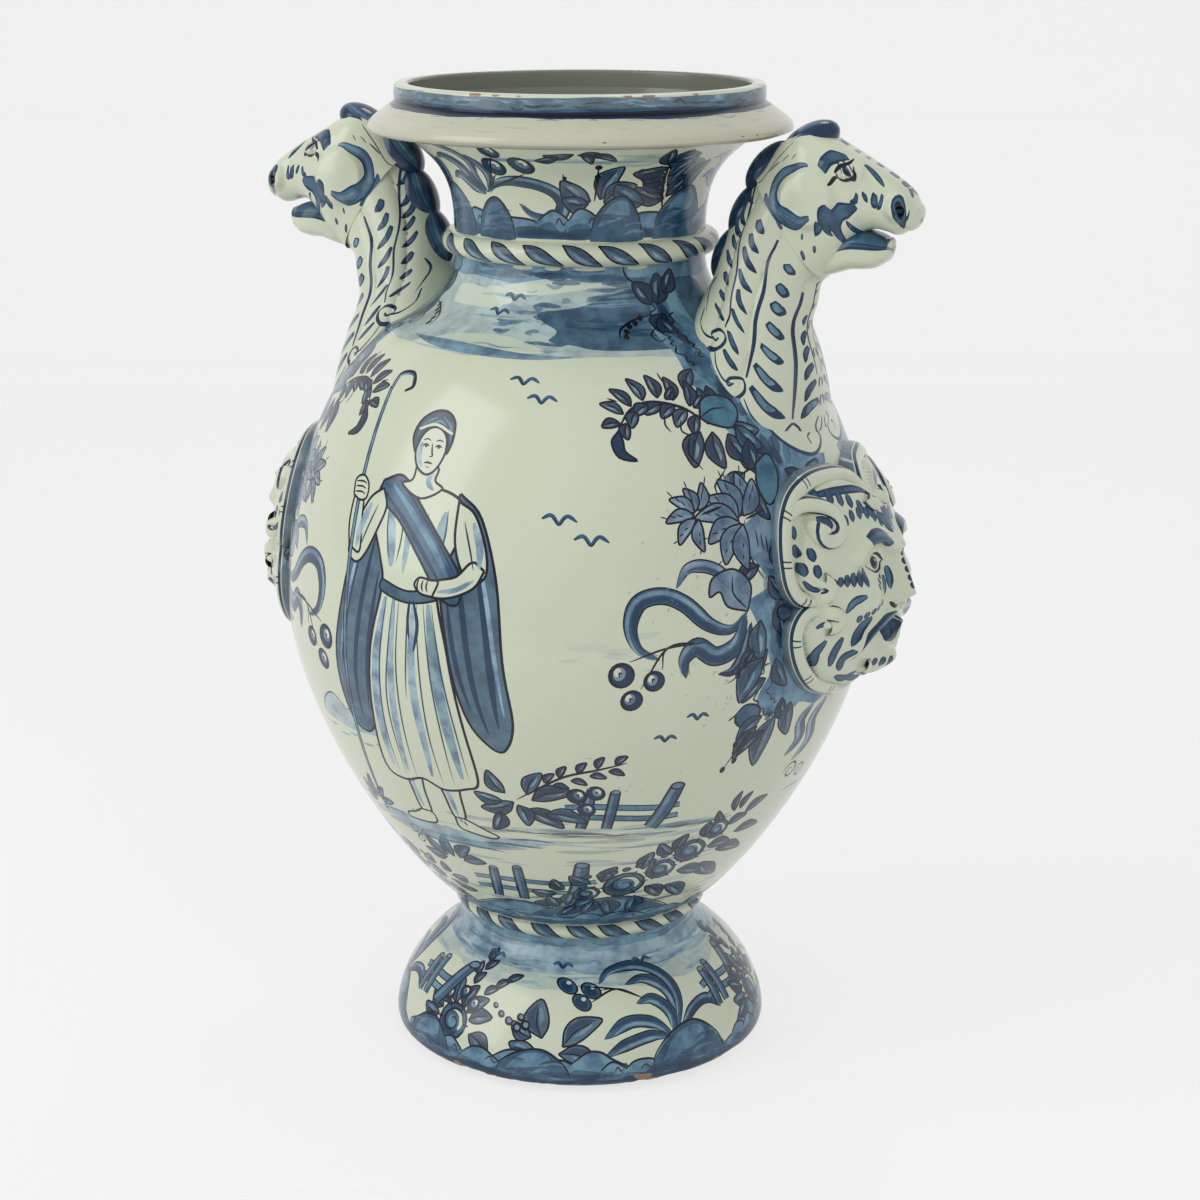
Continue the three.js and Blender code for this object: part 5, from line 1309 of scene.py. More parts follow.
def turned_pieces():
    """Nine pieces turned about the axis, each with its painted wall and a plain inside darkened as painted
    shade; the foot's inside is bare clay.
    """
    floor = Z_BELLY_BASE + FLOOR_THICKNESS
    ring = [(FOOT_RADIUS - FOOT_EDGE_ROUNDING, 0), (FOOT_RING_BORE, 0),
            (FOOT_RING_BORE - 2, FOOT_EDGE_HEIGHT)]
    round_floor = [(AXIS_HOLE, floor), (BELLY_BASE_RADIUS - WALL, floor + 4)]
    inside = {
        "foot": ring + inner_line("foot", (0.35, 0.5, 0.65, 0.8, 1)),
        "foot_cordon": [(FOOT_CORDON_BORE, Z_FOOT_TOP), (FOOT_CORDON_BORE, Z_BELLY_BASE)],
        "lower_belly": round_floor + inner_line("lower_belly", np.linspace(0.15, 1, 12)),
        "upper_belly": inner_line("upper_belly", np.linspace(0, 1, 16)),
        "shoulder": inner_line("shoulder", np.linspace(0, 1, 10)),
        "neck_cordon": [(NECK_BORE, Z_NECK), (NECK_BORE, Z_MOUTH)],
        "mouth": inner_line("mouth", np.linspace(0, 0.8, 10)) + [(LIP_BORE, Z_LIP)],
        "lip_flange": [(LIP_BORE, Z_LIP), (RIM_BORE, Z_RIM)],
        "rim_collar": [(RIM_BORE, Z_RIM), (RIM_BORE, Z_TOP - RIM_ROUNDING), (RIM_BORE + 0.4, Z_TOP - 0.4),
                       (RIM_BORE + RIM_ROUNDING, Z_TOP)],
    }
    for name, line in inside.items():
        parts = [wall_part(name), lathe_part(line, tint=BARE_CLAY if name == "foot" else INSIDE_PAINTED_SHADE)]
        if name == "lower_belly":
            parts.append(lathe_part(
                    [(AXIS_HOLE, Z_BELLY_BASE), (BELLY_BASE_RADIUS, Z_BELLY_BASE)], inward=False))
        build_piece("painted_" + name, parts, GLAZE, [name])


turned_pieces()


# Handles: a reeded neck that carries a horse head, drawn for the +X side
NECK_BACK = 79.5
HEAD_BACK = 119.5
ROOT_BACK_Z = 424.5

NECK_ROWS = np.array([
    # back radius, back height, front radius, front height, half width
    [NECK_BACK - 14, Z_SHOULDER - 26, SHOULDER_RADIUS + 30, Z_SHOULDER - 84, 56],
    [NECK_BACK - 10, Z_SHOULDER - 4, SHOULDER_RADIUS + 39, Z_SHOULDER - 56, 64],
    [NECK_BACK - 8, Z_SHOULDER + 8, SHOULDER_RADIUS + 39, Z_SHOULDER - 39, 58],
    [NECK_BACK - 4, ROOT_BACK_Z + 6, SHOULDER_RADIUS + 36.5, Z_SHOULDER - 17, 44],
    [NECK_BACK + 1, ROOT_BACK_Z + 17, NECK_BACK + 54, Z_SHOULDER + 4, 33],
    [NECK_BACK + 5, Z_MOUTH - 6, NECK_BACK + 57, Z_SHOULDER + 18, 28],
    [NECK_BACK + 11, Z_MOUTH + 9, HEAD_BACK + 19, Z_LIP - 75, 24.9],
    [HEAD_BACK - 13.5, Z_LIP - 15, HEAD_BACK + 23.5, Z_LIP - 70, 22],
    [HEAD_BACK - 8, Z_LIP - 7, HEAD_BACK + 25.5, Z_LIP - 68, 22.3],
])
GROOVES_AT_ROOT = np.array([0, 32, 72, 96, 180.0])
GROOVES_AT_HEAD = np.array([0, 26, 86, 140, 180.0])
REED_DEPTH = 2.8

HEAD_ROWS = np.array([
    # crown radius, crown height, jaw radius, jaw height, half width, from the lip edge
    [-16, -18, 22, -71.5, 21.8],
    [-13.5, -15, 23.5, -70, 22],
    [-4, -3, 26.5, -67, 22.5],
    [4, 3, 29.5, -64, 23.5],
    [12, 6.5, 33.5, -59, 23.5],
    [23, 3, 38.5, -51, 22],
    [35, -3.5, 43.5, -46, 19.7],
    [47, -10, 49.5, -44, 16.7],
    [58, -16.5, 55.5, -45, 15],
    [66.5, -23, 62, -46.5, 14.2],
    [71, -30, 66.5, -44, 11],
]) + np.array([HEAD_BACK, Z_LIP, HEAD_BACK, Z_LIP, 0])


def row_at(rows, t):
    """Smoothly interpolated row of a table at a place between its rows."""
    t = np.clip(np.asarray(t, float), 0, len(rows) - 1)
    i = np.minimum(t.astype(int), len(rows) - 2)
    f = (t - i)[:, None]
    p1, p2 = rows[i], rows[i + 1]
    p0, p3 = rows[np.maximum(i - 1, 0)], rows[np.minimum(i + 2, len(rows) - 1)]
    return 0.5 * (2 * p1 + (p2 - p0) * f + (2 * p0 - 5 * p1 + 4 * p2 - p3) * f ** 2
                  + (3 * p1 - p0 - 3 * p2 + p3) * f ** 3)


def neck_surface(turn, t):
    """Neck: turn 0 at the front, 90 on the flank, 180 at the back, 360 again at the front."""
    row = row_at(NECK_ROWS, t)
    side = np.where(turn <= 180, 1.0, -1.0)
    angle = np.where(turn <= 180, turn, 360 - turn)
    rise = np.clip(t / 7, 0, 1)
    grooves = GROOVES_AT_ROOT + (GROOVES_AT_HEAD - GROOVES_AT_ROOT) * rise[:, None]
    swell = np.zeros(len(t))
    for k in range(4):
        low, high = grooves[:, k], grooves[:, k + 1]
        inside = (angle >= low) & (angle <= high)
        within = np.clip((angle - low) / (high - low), 0, 1)
        if k == 0:
            here = np.cos(math.pi / 2 * within)
        elif k == 3:
            here = np.sin(math.pi / 2 * within)
        else:
            here = np.sin(math.pi * within)
        swell = np.where(inside, np.abs(here) ** 0.62, swell)
    fade = np.clip((7.6 - t) / 1.8, 0, 1)
    grow = 1 - REED_DEPTH * (1 - swell) * fade / row[:, 4]
    forward = (1 + np.cos(np.radians(angle)) * grow) / 2
    x = row[:, 0] + (row[:, 2] - row[:, 0]) * forward
    z = row[:, 1] + (row[:, 3] - row[:, 1]) * forward
    y = side * row[:, 4] * np.sin(np.radians(angle)) * grow
    return np.stack([x, y, z], 1)


def bump(x, z, cx, cz, radius, soft):
    """Flat-topped round swelling with a soft edge."""
    return eased(np.clip((radius - np.hypot(x - cx, z - cz)) / soft, 0, 1))


def distance_to(x, y, line):
    """Distance from places in a plane to a line through points."""
    nearest = np.full(len(x), np.inf)
    for a, b in zip(line, line[1:]):
        ab = b - a
        share = np.clip(((x - a[0]) * ab[0] + (y - a[1]) * ab[1]) / max(ab @ ab, 1e-9), 0, 1)
        nearest = np.minimum(nearest, np.hypot(x - a[0] - share * ab[0], y - a[1] - share * ab[1]))
    return nearest


def ridge(x, y, line, wide):
    """Soft ridge along a short curved line."""
    return np.exp(-(distance_to(x, y, spline(line)) / wide) ** 2)


def tube(rows, turn, t, push, powers):
    """Tube with a rounded end through rows of a table; powers below 1 make it squarer."""
    last = len(rows) - 1
    row = row_at(rows, np.minimum(t, last))
    past = np.clip(t - last, 0, 1)
    shrink = np.sqrt(np.maximum(1 - past ** 2, 0))
    c, s = np.cos(np.radians(turn)), np.sin(np.radians(turn))
    up = np.sign(c) * np.abs(c) ** powers[0]
    side = np.sign(s) * np.abs(s) ** powers[1]
    x, z = ((row[:, k] + row[:, k + 2]) / 2 + past * push[k] + (row[:, k] - row[:, k + 2]) / 2 * shrink * up
            for k in (0, 1))
    return x, row[:, 4] * shrink * side, z, side


def head_surface(turn, t):
    """Head: turn 0 at the crown, 90 on the flank, 180 under the jaw; t runs to the muzzle."""
    x, y, z, side = tube(HEAD_ROWS, turn, t, (4.2, -1.6), (0.9, 0.8))
    flank = np.clip(np.abs(side) * 1.6 - 0.45, 0, 1)
    rise = 3.2 * bump(x, z, HEAD_BACK + 17, Z_LIP - 28, 17.5, 5)
    rise += (2.6 * bump(x, z, HEAD_BACK + 38, Z_LIP - 14, 8.5, 6)
             - 2.2 * bump(x, z, HEAD_BACK + 38, Z_LIP - 14.5, 6.2, 2.4))
    rise += 3.4 * bump(x, z, HEAD_BACK + 38, Z_LIP - 14.5, 4.8, 4)
    brow = [(HEAD_BACK + 27, Z_LIP - 9), (HEAD_BACK + 35, Z_LIP - 4), (HEAD_BACK + 44, Z_LIP - 7)]
    rise += 2.2 * ridge(x, z, brow, 3.2)
    rise += (3.2 * bump(x, z, HEAD_BACK + 63.5, Z_LIP - 32, 8.5, 5.5)
             - 4.4 * bump(x, z, HEAD_BACK + 65, Z_LIP - 33, 4, 3.4))
    rise -= 1.8 * ridge(x, z, [(HEAD_BACK + 47, Z_LIP - 17), (HEAD_BACK + 56, Z_LIP - 25)], 4)
    cheek = [(HEAD_BACK + 42, Z_LIP - 36), (HEAD_BACK + 39, Z_LIP - 42), (HEAD_BACK + 41, Z_LIP - 49)]
    rise += 1.4 * ridge(x, z, cheek, 2.4)
    return np.stack([x, y + np.sign(y) * rise * flank, z], 1)


JAW_ROWS = np.array([
    [25, -50, 22, -70, 11.5], [31, -47, 29, -68, 13.5], [38, -45, 37, -65.5, 14.5], [45, -45, 44, -65, 14.5],
    [51, -46.5, 50, -64, 13], [55.5, -48.5, 54, -61.5, 10.5],
]) + np.array([HEAD_BACK, Z_LIP, HEAD_BACK, Z_LIP, 0])


def jaw_surface(turn, t):
    """Lower jaw, with the same turns as the head."""
    return np.stack(tube(JAW_ROWS, turn, t, (3.4, 0.6), (0.7, 0.7))[:3], 1)


def turned_to_normals(points, faces, normals):
    """The faces, with their corners in reverse order if they look against the normals."""
    corners = points[faces]
    looks = np.cross(corners[:, 1] - corners[:, 0], corners[:, 2] - corners[:, 0])
    against = np.einsum("ij,ij->i", looks, normals[faces].mean(axis=1)).sum() < 0
    return faces[:, ::-1] if against else faces


def surface_part(surface, box, grid, scale, strokes, keep=None):
    """Painted piece of a surface; scale turns its two coordinates into rough millimetres."""
    (left, low), (right, high) = box
    su, sv = scale
    scaled = [(polygon * (su, sv), paint) for polygon, paint in strokes]
    flat, faces, paint = inlay(((left * su, low * sv), (right * su, high * sv)), scaled, (grid, grid))
    u, v = flat[:, 0] / su, flat[:, 1] / sv
    points = surface(u, v)
    du, dv = (right - left) * 1e-4, (high - low) * 1e-4
    a = surface(np.minimum(u + du, right), v) - surface(np.maximum(u - du, left), v)
    b = surface(u, np.minimum(v + dv, high)) - surface(u, np.maximum(v - dv, low))
    normals = np.cross(a, b)
    size = np.linalg.norm(normals, axis=1)
    normals /= np.maximum(size, 1e-12)[:, None]
    if np.einsum("ij,ij->i", normals, points - points.mean(axis=0)).sum() <= 0:
        normals = -normals
    faces = turned_to_normals(points, faces, normals)
    if keep is not None:
        chosen = keep(points)[faces].any(axis=1)
        faces, paint = faces[chosen], paint[chosen]
    return {"points": points, "faces": faces, "normals": normals, "paint": paint}


def flanks(marks):
    """Marks drawn on one flank, and again on the other."""
    return marks + [(np.stack([360 - polygon[:, 0], polygon[:, 1]], 1), paint) for polygon, paint in marks]


class Chart:
    """Rough millimetres on a tube, so that brush marks keep their shape on it."""

    def __init__(self, surface, length):
        self.t = np.linspace(0, length, 240)
        middle = surface(np.full(240, 90.0), self.t)
        self.run = np.concatenate([[0], np.cumsum(np.linalg.norm(np.diff(middle, axis=0), axis=1))])
        wide = surface(np.full(240, 60.0), self.t) - surface(np.full(240, 120.0), self.t)
        self.wide = np.maximum(np.linalg.norm(wide, axis=1) / 60, 0.12)

    def mm(self, places):
        places = np.asarray(places, float)
        return np.stack([places[:, 0] * np.interp(places[:, 1], self.t, self.wide),
                         np.interp(places[:, 1], self.t, self.run)], 1)

    def back(self, spots):
        t = np.interp(spots[:, 1], self.run, self.t)
        return np.stack([spots[:, 0] / np.interp(t, self.t, self.wide), t], 1)


TOUCH_WEIGHT = 1.45    # how much fuller a touch is laid than its width says


def touch(brush, start, end, width, tone=SLATE, bow_out=0.12, edge=DEEP):
    """One pressed brush touch, full at its start and pointed at its end."""
    width *= TOUCH_WEIGHT
    start, end = np.array(start, float), np.array(end, float)
    along = end - start
    middle = (start + end) / 2 + np.array([-along[1], along[0]]) * bow_out
    brush.line([start - along * 0.04, middle, end + along * 0.04], width, edge, 1.0, (0.6, 0.15), 5)
    inner = [start + along * 0.08, middle - along * 0.05, start + along * 0.72]
    brush.line(inner, width * 0.58, tone, 0.9, (0.5, 0.1), 4)


# Painted lines of the neck: a width in millimetres, then places as (turn, place along)
NECK_LINES = [
    (0.7, [(168, 7), (140, 6.47), (117, 5.45), (104, 3.92), (103, 3.23)]),
    (1.1, [(86, 6.6), (84, 6.29), (78, 5.3), (74, 4.01), (74, 2.96), (74, 2.39)]),
    (1.6, [(27, 5.4), (28, 4.55), (29, 3.71), (31, 2.87), (32, 1.76)]),
    (0.7, [(9, 6.2), (8, 4.91), (7, 3.8), (5, 2.9)]),
    (0.8, [(161, 2.5), (134, 2.24), (116, 2.3), (105, 2.51), (99, 2.87)]),
    (0.8, [(111, 2.33), (108, 2.06), (98, 1.73), (88, 1.58), (79, 1.7), (73, 2.0)]),
    (0.8, [(76, 1.85), (74, 1.58), (66, 1.16), (54, 0.95), (39, 0.9), (32, 0.9), (26, 1.0)]),
    (0.8, [(26, 0.98), (15, 0.9), (4, 0.95)]),
    (0.7, [(140, 3.11), (135, 2.69), (123, 2.57), (109, 2.72)]),
    (0.7, [(105, 2.48), (99, 2.21), (90, 2.03), (84, 2.06)]),
    (0.7, [(72, 1.85), (65, 1.49), (54, 1.25), (39, 1.19)]),
    (0.8,
     [(114, 2.39), (104, 2.57), (99, 2.87), (101, 3.05), (108, 3.05), (116, 2.81), (115, 2.69), (109, 2.7),
      (106, 2.84)]),
    (0.8,
     [(87, 1.61), (78, 1.73), (73, 2.03), (74, 2.24), (78, 2.3), (85, 2.18), (87, 2.03), (85, 1.97),
      (82, 2.1)]),
    (0.8,
     [(36, 0.95), (27, 1.0), (24, 1.22), (26, 1.49), (32, 1.61), (37, 1.4), (38, 1.22), (35, 1.16),
      (32, 1.28)]),
    (0.7, [(6, 1.9), (10, 1.6), (7, 1.32), (3, 1.5), (2, 1.82)]),
    (0.8, [(21, 1.1), (12, 1.02), (5, 1.13), (4, 1.31)]),
]
# Touches of the neck: two ends and a width
NECK_TOUCHES = [
    (160, 6.62, 140, 6.56, 1.4), (151, 6.38, 134, 6.2, 1.6), (153, 6.17, 129, 5.96, 1.9),
    (144, 5.81, 125, 5.57, 2.0),
    (142, 5.24, 121, 4.94, 2.2), (132, 4.61, 117, 4.4, 2.6), (129, 4.01, 115, 3.92, 2.8),
    (127, 3.53, 107, 3.41, 2.8),
    (146, 4.19, 134, 3.08, 1.0),
    (115, 6.53, 102, 6.44, 2.6), (114, 6.23, 96, 6.02, 2.2), (113, 5.87, 90, 5.36, 2.6),
    (108, 5.09, 87, 4.64, 2.2),
    (101, 4.49, 85, 3.95, 2.2), (100, 3.86, 84, 3.41, 2.4), (98, 3.2, 85, 2.81, 3.0),
    (97, 2.69, 82, 2.45, 3.0),
    (64, 6.29, 50, 6.14, 4.0), (63, 5.39, 48, 5.15, 4.2), (62, 4.67, 44, 4.46, 4.0),
    (61, 3.98, 42, 3.74, 4.0),
    (66, 3.32, 45, 3.14, 4.0), (69, 2.78, 44, 2.48, 4.4), (68, 2.24, 40, 1.82, 4.2),
    (12, 4.5, 14, 4.15, 2.0), (10, 3.95, 17, 3.6, 2.4), (10, 3.55, 19, 3.2, 2.4), (9, 3.14, 21, 2.78, 2.6),
    (8, 2.75, 21, 2.3, 2.8), (6, 2.3, 24, 1.85, 3.4),
    (9, 7.3, 12, 6.9, 1.1), (6, 6.3, 10, 5.9, 1.2), (4, 5.69, 8, 5.4, 1.2), (3, 5.0, 6, 4.75, 1.1),
    (2, 4.3, 4, 4.0, 1.1), (2, 3.5, 3, 3.3, 1.1), (1, 2.8, 3, 2.6, 1.2), (1, 2.4, 3, 2.15, 1.2),
]
HEAD_LINES = [
    (0.9, INK, [(69, 5.4), (55, 5.77), (44, 6.13), (30, 6.31)]),
    (0.8, INK, [(69, 5.5), (75, 5.62), (73, 6.04), (62, 6.42), (46, 6.33)]),
    (1.0, INK, [(73, 5.5), (81, 5.13), (84, 4.95)]),
    (0.9, INK, [(60, 9.8), (84, 9.86), (106, 9.54)]),
    (0.7, DEEP, [(48, 3.32), (51, 2.95)]), (0.8, DEEP, [(44, 2.82), (46, 2.27)]),
    (1.0, DEEP, [(44, 2.13), (41, 1.5)]),
    (0.6, INK, [(36, 0.4), (40, 1.2), (37, 2.2), (30, 3.2)]),
]
HEAD_TOUCHES = [
    (3, 5.4, 3, 5.8, 1.5), (4, 6.1, 4, 6.35, 1.3), (4, 6.6, 4, 6.8, 1.2), (3, 7.1, 3, 7.4, 1.4),
    (3, 7.75, 3, 8.2, 2.2),
    (6, 8.45, 5, 8.85, 3.0), (14, 9.1, 6, 9.35, 3.0), (88, 6.45, 99, 6.0, 1.2), (84, 6.86, 93, 6.81, 2.2),
    (79, 7.4, 99, 7.27, 2.6), (74, 7.77, 100, 7.6, 1.4), (109, 3.72, 116, 2.95, 3.4),
    (107, 1.9, 109, 1.64, 1.5),
    (123, 2.32, 129, 2.0, 2.4), (117, 1.14, 126, 0.8, 2.4),
]


def paint_neck(chart):
    """Dark lines and touches that follow the reeds of the neck."""
    marks = []
    brush = Brush(chart.back, marks)
    for width, places in NECK_LINES:
        brush.line(chart.mm(places), width * 1.9, DEEP, 1.0, (0.6, 0.5))
    for turn0, t0, turn1, t1, width in NECK_TOUCHES:
        start, end = chart.mm([(turn0, t0), (turn1, t1)])
        touch(brush, start, end, width, WASH if width > 3 else SLATE, 0.1)
    return flanks(marks)


def paint_head(chart):
    """Painted edges, eye, nostril, lines and touches of the horse's head."""
    marks = []
    brush = Brush(chart.back, marks)
    for inset, tone, strength in ((-2.4, DEEP, 1.0), (-0.6, TEAL, 1.0), (2.6, HAZE, 0.8)):
        brush.line(chart.mm([
                (65, 4.0), (60, 2.86), (59, 1.73), (69, 1.27), (84, 1.36), (98, 2.09), (101, 3.18)]),
                   5.4 - inset, tone, strength, (0.2, 0.3))
    for inset, tone in ((-1.2, DEEP), (0.9, SLATE)):
        brush.line(chart.mm([(57, 1.0), (68, 0.25), (82, 0.2), (91, 0.86)]), 3.4 - inset, tone, 1.0,
                   (0.3, 0.2))
        brush.line(chart.mm([(69, 4.72), (54, 5.13), (40, 5.68), (33, 6.04)]), 4.4 - inset, tone, 1.0,
                   (0.6, 0.5))
        brush.line(chart.mm([(29, 6.77), (40, 7.27), (56, 7.81)]), 3.2 - inset, tone, 1.0, (0.5, 0.2))
        brush.line(chart.mm([(102, 4.68), (108, 4.22), (119, 4.0), (129, 4.18)]), 4.2 - inset, tone, 1.0,
                   (0.4, 0.3))
        brush.line(chart.mm([(104, 6.31), (110, 5.36), (118, 4.63), (135, 4.59), (156, 4.68)]), 4.8 - inset,
                   tone, 1.0, (0.3, 0.2))
        brush.line(chart.mm([(126, 5.55), (150, 5.75), (172, 5.9)]), 4.6 - inset, tone, 1.0, (0.3, 0.6))
    eye = chart.mm([(58, 6.05)])[0]
    brush.mark(oval(*eye, 4.0, 3.6), CREAM)
    brush.mark(ribbon(oval(*eye, 4.2, 3.8, 0, 14), 0.9, (1, 1), 2), DEEP)
    brush.mark(oval(*eye, 2.5), DEEP)
    brush.mark(oval(*eye, 1.7), INK)
    hole = chart.mm([(75, 9.0)])[0]
    brush.mark(oval(*hole, 6.6, 6.0), DEEP)
    brush.mark(oval(*hole, 5.0, 4.5), SLATE)
    brush.mark(oval(*hole, 3.4, 3.0), INK)
    for width, tone, places in HEAD_LINES:
        brush.line(chart.mm(places), width, tone, 1.0, (0.5, 0.4))
    for turn0, t0, turn1, t1, width in HEAD_TOUCHES:
        start, end = chart.mm([(turn0, t0), (turn1, t1)])
        touch(brush, start, end, width, SLATE, 0.1)
    poll = chart.mm([(26, 3.3), (16, 3.9), (2, 4.1), (2, 5.0), (14, 4.75), (27, 4.1)])
    brush.mark(spline(list(poll) + [poll[0]], 4), DEEP)
    brush.mark(spline([(x * 0.86, y) for x, y in poll] + [(poll[0][0] * 0.86, poll[0][1])], 4), SLATE, 0.7)
    return flanks(marks)


def mirrored(part):
    """The same part on the other side of the jar."""
    half_turn = np.array([-1, -1, 1])
    return {**part, "points": part["points"] * half_turn, "normals": part["normals"] * half_turn}


MANE_LINE = [
    (HEAD_BACK + 9, Z_LIP + 3), (HEAD_BACK - 14, Z_LIP - 12),
    (NECK_BACK + 14, Z_MOUTH + 14), (NECK_BACK + 4.5, Z_MOUTH - 8),
]
MANE_SEAT, MANE_RISE, MANE_WIDTH, MANE_LOCK_LENGTH = 5, 4.4, 26, 34


def mane_parts():
    """Rounded locks down the back of the neck, painted dark with paler strokes."""
    line = spline(MANE_LINE, 12)
    parts = []
    for k, (x, z) in enumerate(MANE_LINE):
        here = min(k * 12, len(line) - 1)
        along = line[min(here + 2, len(line) - 1)] - line[max(here - 2, 0)]
        along /= np.hypot(*along)
        cx, cz = x - along[1] * MANE_SEAT, z + along[0] * MANE_SEAT

        def lock(turn, t, cx=cx, cz=cz, along=along):
            a, b = np.radians(turn), np.radians(t)
            length = MANE_LOCK_LENGTH / 2 * np.cos(b)
            out = (MANE_SEAT + MANE_RISE) * np.sin(b) * np.cos(a)
            wide = MANE_WIDTH / 2 * np.sin(b) * np.sin(a)
            return np.stack([cx + along[0] * length + along[1] * out, wide,
                             cz + along[1] * length - along[0] * out], 1)

        marks = [(np.array([(-1, 0), (361, 0), (361, 180), (-1, 180)], float), (*DEEP, 1.0))]
        for turn in (38, 322):
            marks.append((ribbon([(turn, 25), (turn + 8, 90), (turn, 155)], 34), (*SLATE, 1.0)))
            marks.append((ribbon([(turn, 45), (turn + 8, 90), (turn, 135)], 9), (*HAZE, 0.8)))
        parts.append(surface_part(lock, ((0, 0.2), (360, 179.8)), MANE_GRID, (0.16, 0.25), marks))
    return parts


def handle_pieces():
    """Neck, head, jaw and mane, each with its mirror image."""
    neck_chart, head_chart = Chart(neck_surface, 8), Chart(head_surface, 10.9)
    neck_marks, head_marks = paint_neck(neck_chart), paint_head(head_chart)
    outline = WALL_SHEET.points
    upper = outline[(outline[:, 1] > 262) & (outline[:, 1] < 448)]

    def outside(points):
        limit = np.interp(points[:, 2], upper[:, 1], upper[:, 0])
        return np.hypot(points[:, 0], points[:, 1]) > limit - 4

    neck = surface_part(neck_surface, ((0, 0), (360, 7.35)), NECK_GRID, (0.62, 20), neck_marks, outside)
    head = surface_part(head_surface, ((0, 0.35), (360, 11)), HEAD_GRID, (0.4, 9.5), head_marks)
    jaw_marks = [(np.array([(-1, 0), (84, 0), (84, 5.6), (-1, 5.6)], float), (*SLATE, 1.0)),
                 (np.array([(276, 0), (361, 0), (361, 5.6), (276, 5.6)], float), (*SLATE, 1.0)),
                 (ribbon([(86, 0.4), (84, 3), (78, 5.4)], 5), (*DEEP, 1.0)),
                 (ribbon([(274, 0.4), (276, 3), (282, 5.4)], 5), (*DEEP, 1.0)),
                 (ribbon([(76, 2.5), (72, 5), (70, 5.6)], 5), (*DEEP, 1.0)),
                 (ribbon([(284, 2.5), (288, 5), (290, 5.6)], 5), (*DEEP, 1.0))]
    jaw = surface_part(jaw_surface, ((0, 0), (360, 6)), JAW_GRID, (0.28, 7), jaw_marks)
    mane = mane_parts()
    for side in ("right", "left"):
        turn = (lambda part: part) if side == "right" else mirrored
        build_piece(side + "_reeded_neck", [turn(neck)], GLAZE, [side + "_handle_neck"])
        build_piece(side + "_painted_head", [turn(head)], GLAZE, [side + "_horse_head"])
        build_piece(side + "_painted_jaw", [turn(jaw)], GLAZE, [side + "_lower_jaw"])
        build_piece(side + "_painted_mane", [turn(part) for part in mane], GLAZE, [side + "_mane"])


handle_pieces()


# Masks: a grotesque face in a frame of scrolled straps, drawn for the +X side
MASK_HEIGHT_AT = Z_SHOULDER - 126
MASK_HALF_WIDTH, MASK_HALF_HEIGHT = 67, 54
CURL_FILL = 0.75    # share of the way to the centre of a curl that its inner edge fills
MASK_EDGE_RISE, MASK_FACE_RISE, MASK_NOSE_RISE, MASK_NOSE_DROP = 4, 16, 13, 8
FRAME_BAND, FRAME_RISE = 11, 8

FACE_SWELLINGS = [
    # across, up, spread across, spread up, rise
    (0, 32, 22, 13, 3.5), (18, 12, 8.7, 6.5, -6), (18, 11.5, 5.6, 4.2, 5.5), (8, -9, 3.7, 4, 5),
    (27, -4.5, 11, 10, 5), (0, -29, 12, 4.6, -7), (0, -46, 13, 7, 8),
]
FACE_RIDGES = [
    # line, spread, rise
    ([(5, 18), (13, 24), (24, 24.5), (36, 17)], 4.0, 5.5),
    ([(5, -17), (14, -18), (26, -22), (38, -31)], 4.0, 5.5),
    ([(0, -36), (9, -35), (16, -30)], 3.2, 4.5),
    ([(9, 12), (13, 16), (19, 17.5), (26, 14)], 1.5, 1.8),
    ([(10, 9), (17, 6.2), (25, 9)], 1.4, 1.4),
]


def on_belly(across, up, rise):
    """Places in space from millimetres across and up the mask, raised from the belly."""
    height = MASK_HEIGHT_AT + up
    outline = WALL_SHEET.points
    keep = (outline[:, 1] > 90) & (outline[:, 1] < 410)
    radius = np.interp(height, outline[keep, 1], outline[keep, 0]) + rise
    turn = across / BELLY_RADIUS
    return np.stack([radius * np.cos(turn), radius * np.sin(turn), height], 1)


def hump(x, centre, spread):
    """Smooth swelling about a centre."""
    return np.exp(-((x - centre) / spread) ** 2)


def face_rise(across, up):
    """Height of the mask's face over the belly."""
    x = np.abs(across)
    sx, sy = x / MASK_HALF_WIDTH, up / MASK_HALF_HEIGHT
    rise = MASK_EDGE_RISE + MASK_FACE_RISE * np.sqrt(np.maximum(0, 1 - 0.92 * sx ** 2 - 0.62 * sy ** 2))
    tip = -MASK_NOSE_DROP
    share = np.clip((up - tip) / 30, 0, 1)
    bridge = MASK_NOSE_RISE * (1 - 0.65 * share)
    wide = 4.4 + 2.6 * (1 - share)
    along = np.where(up > tip, hump(np.maximum(up - 22, 0), 0, 4.5), hump(up, tip, 4.4))
    rise = rise + bridge * hump(x, 0, wide) * along
    for cx, cy, wx, wy, amount in FACE_SWELLINGS:
        rise = rise + amount * hump(x, cx, wx) * hump(up, cy, wy)
    for line, wide, amount in FACE_RIDGES:
        rise = rise + amount * ridge(x, up, line, wide)
    return rise


# Outline of the face on one side, under the middle of the frame
FACE_OUTLINE = [
    (0, 48.6), (18.8, 57.2), (38.9, 58.3), (52.9, 56.2), (63.7, 51.3), (70.4, 43.2), (73, 35.6),
    (74.4, 27), (74.4, 17.8), (73, 9.2), (65, 1.1), (62.3, -7.6), (67, -10.3), (71, -17.8),
    (69.7, -27.5), (64.3, -37.8), (54.3, -47.5), (38.9, -53.5), (26.8, -56.7), (18.8, -54),
    (9.4, -55.1), (0, -56.2),
]
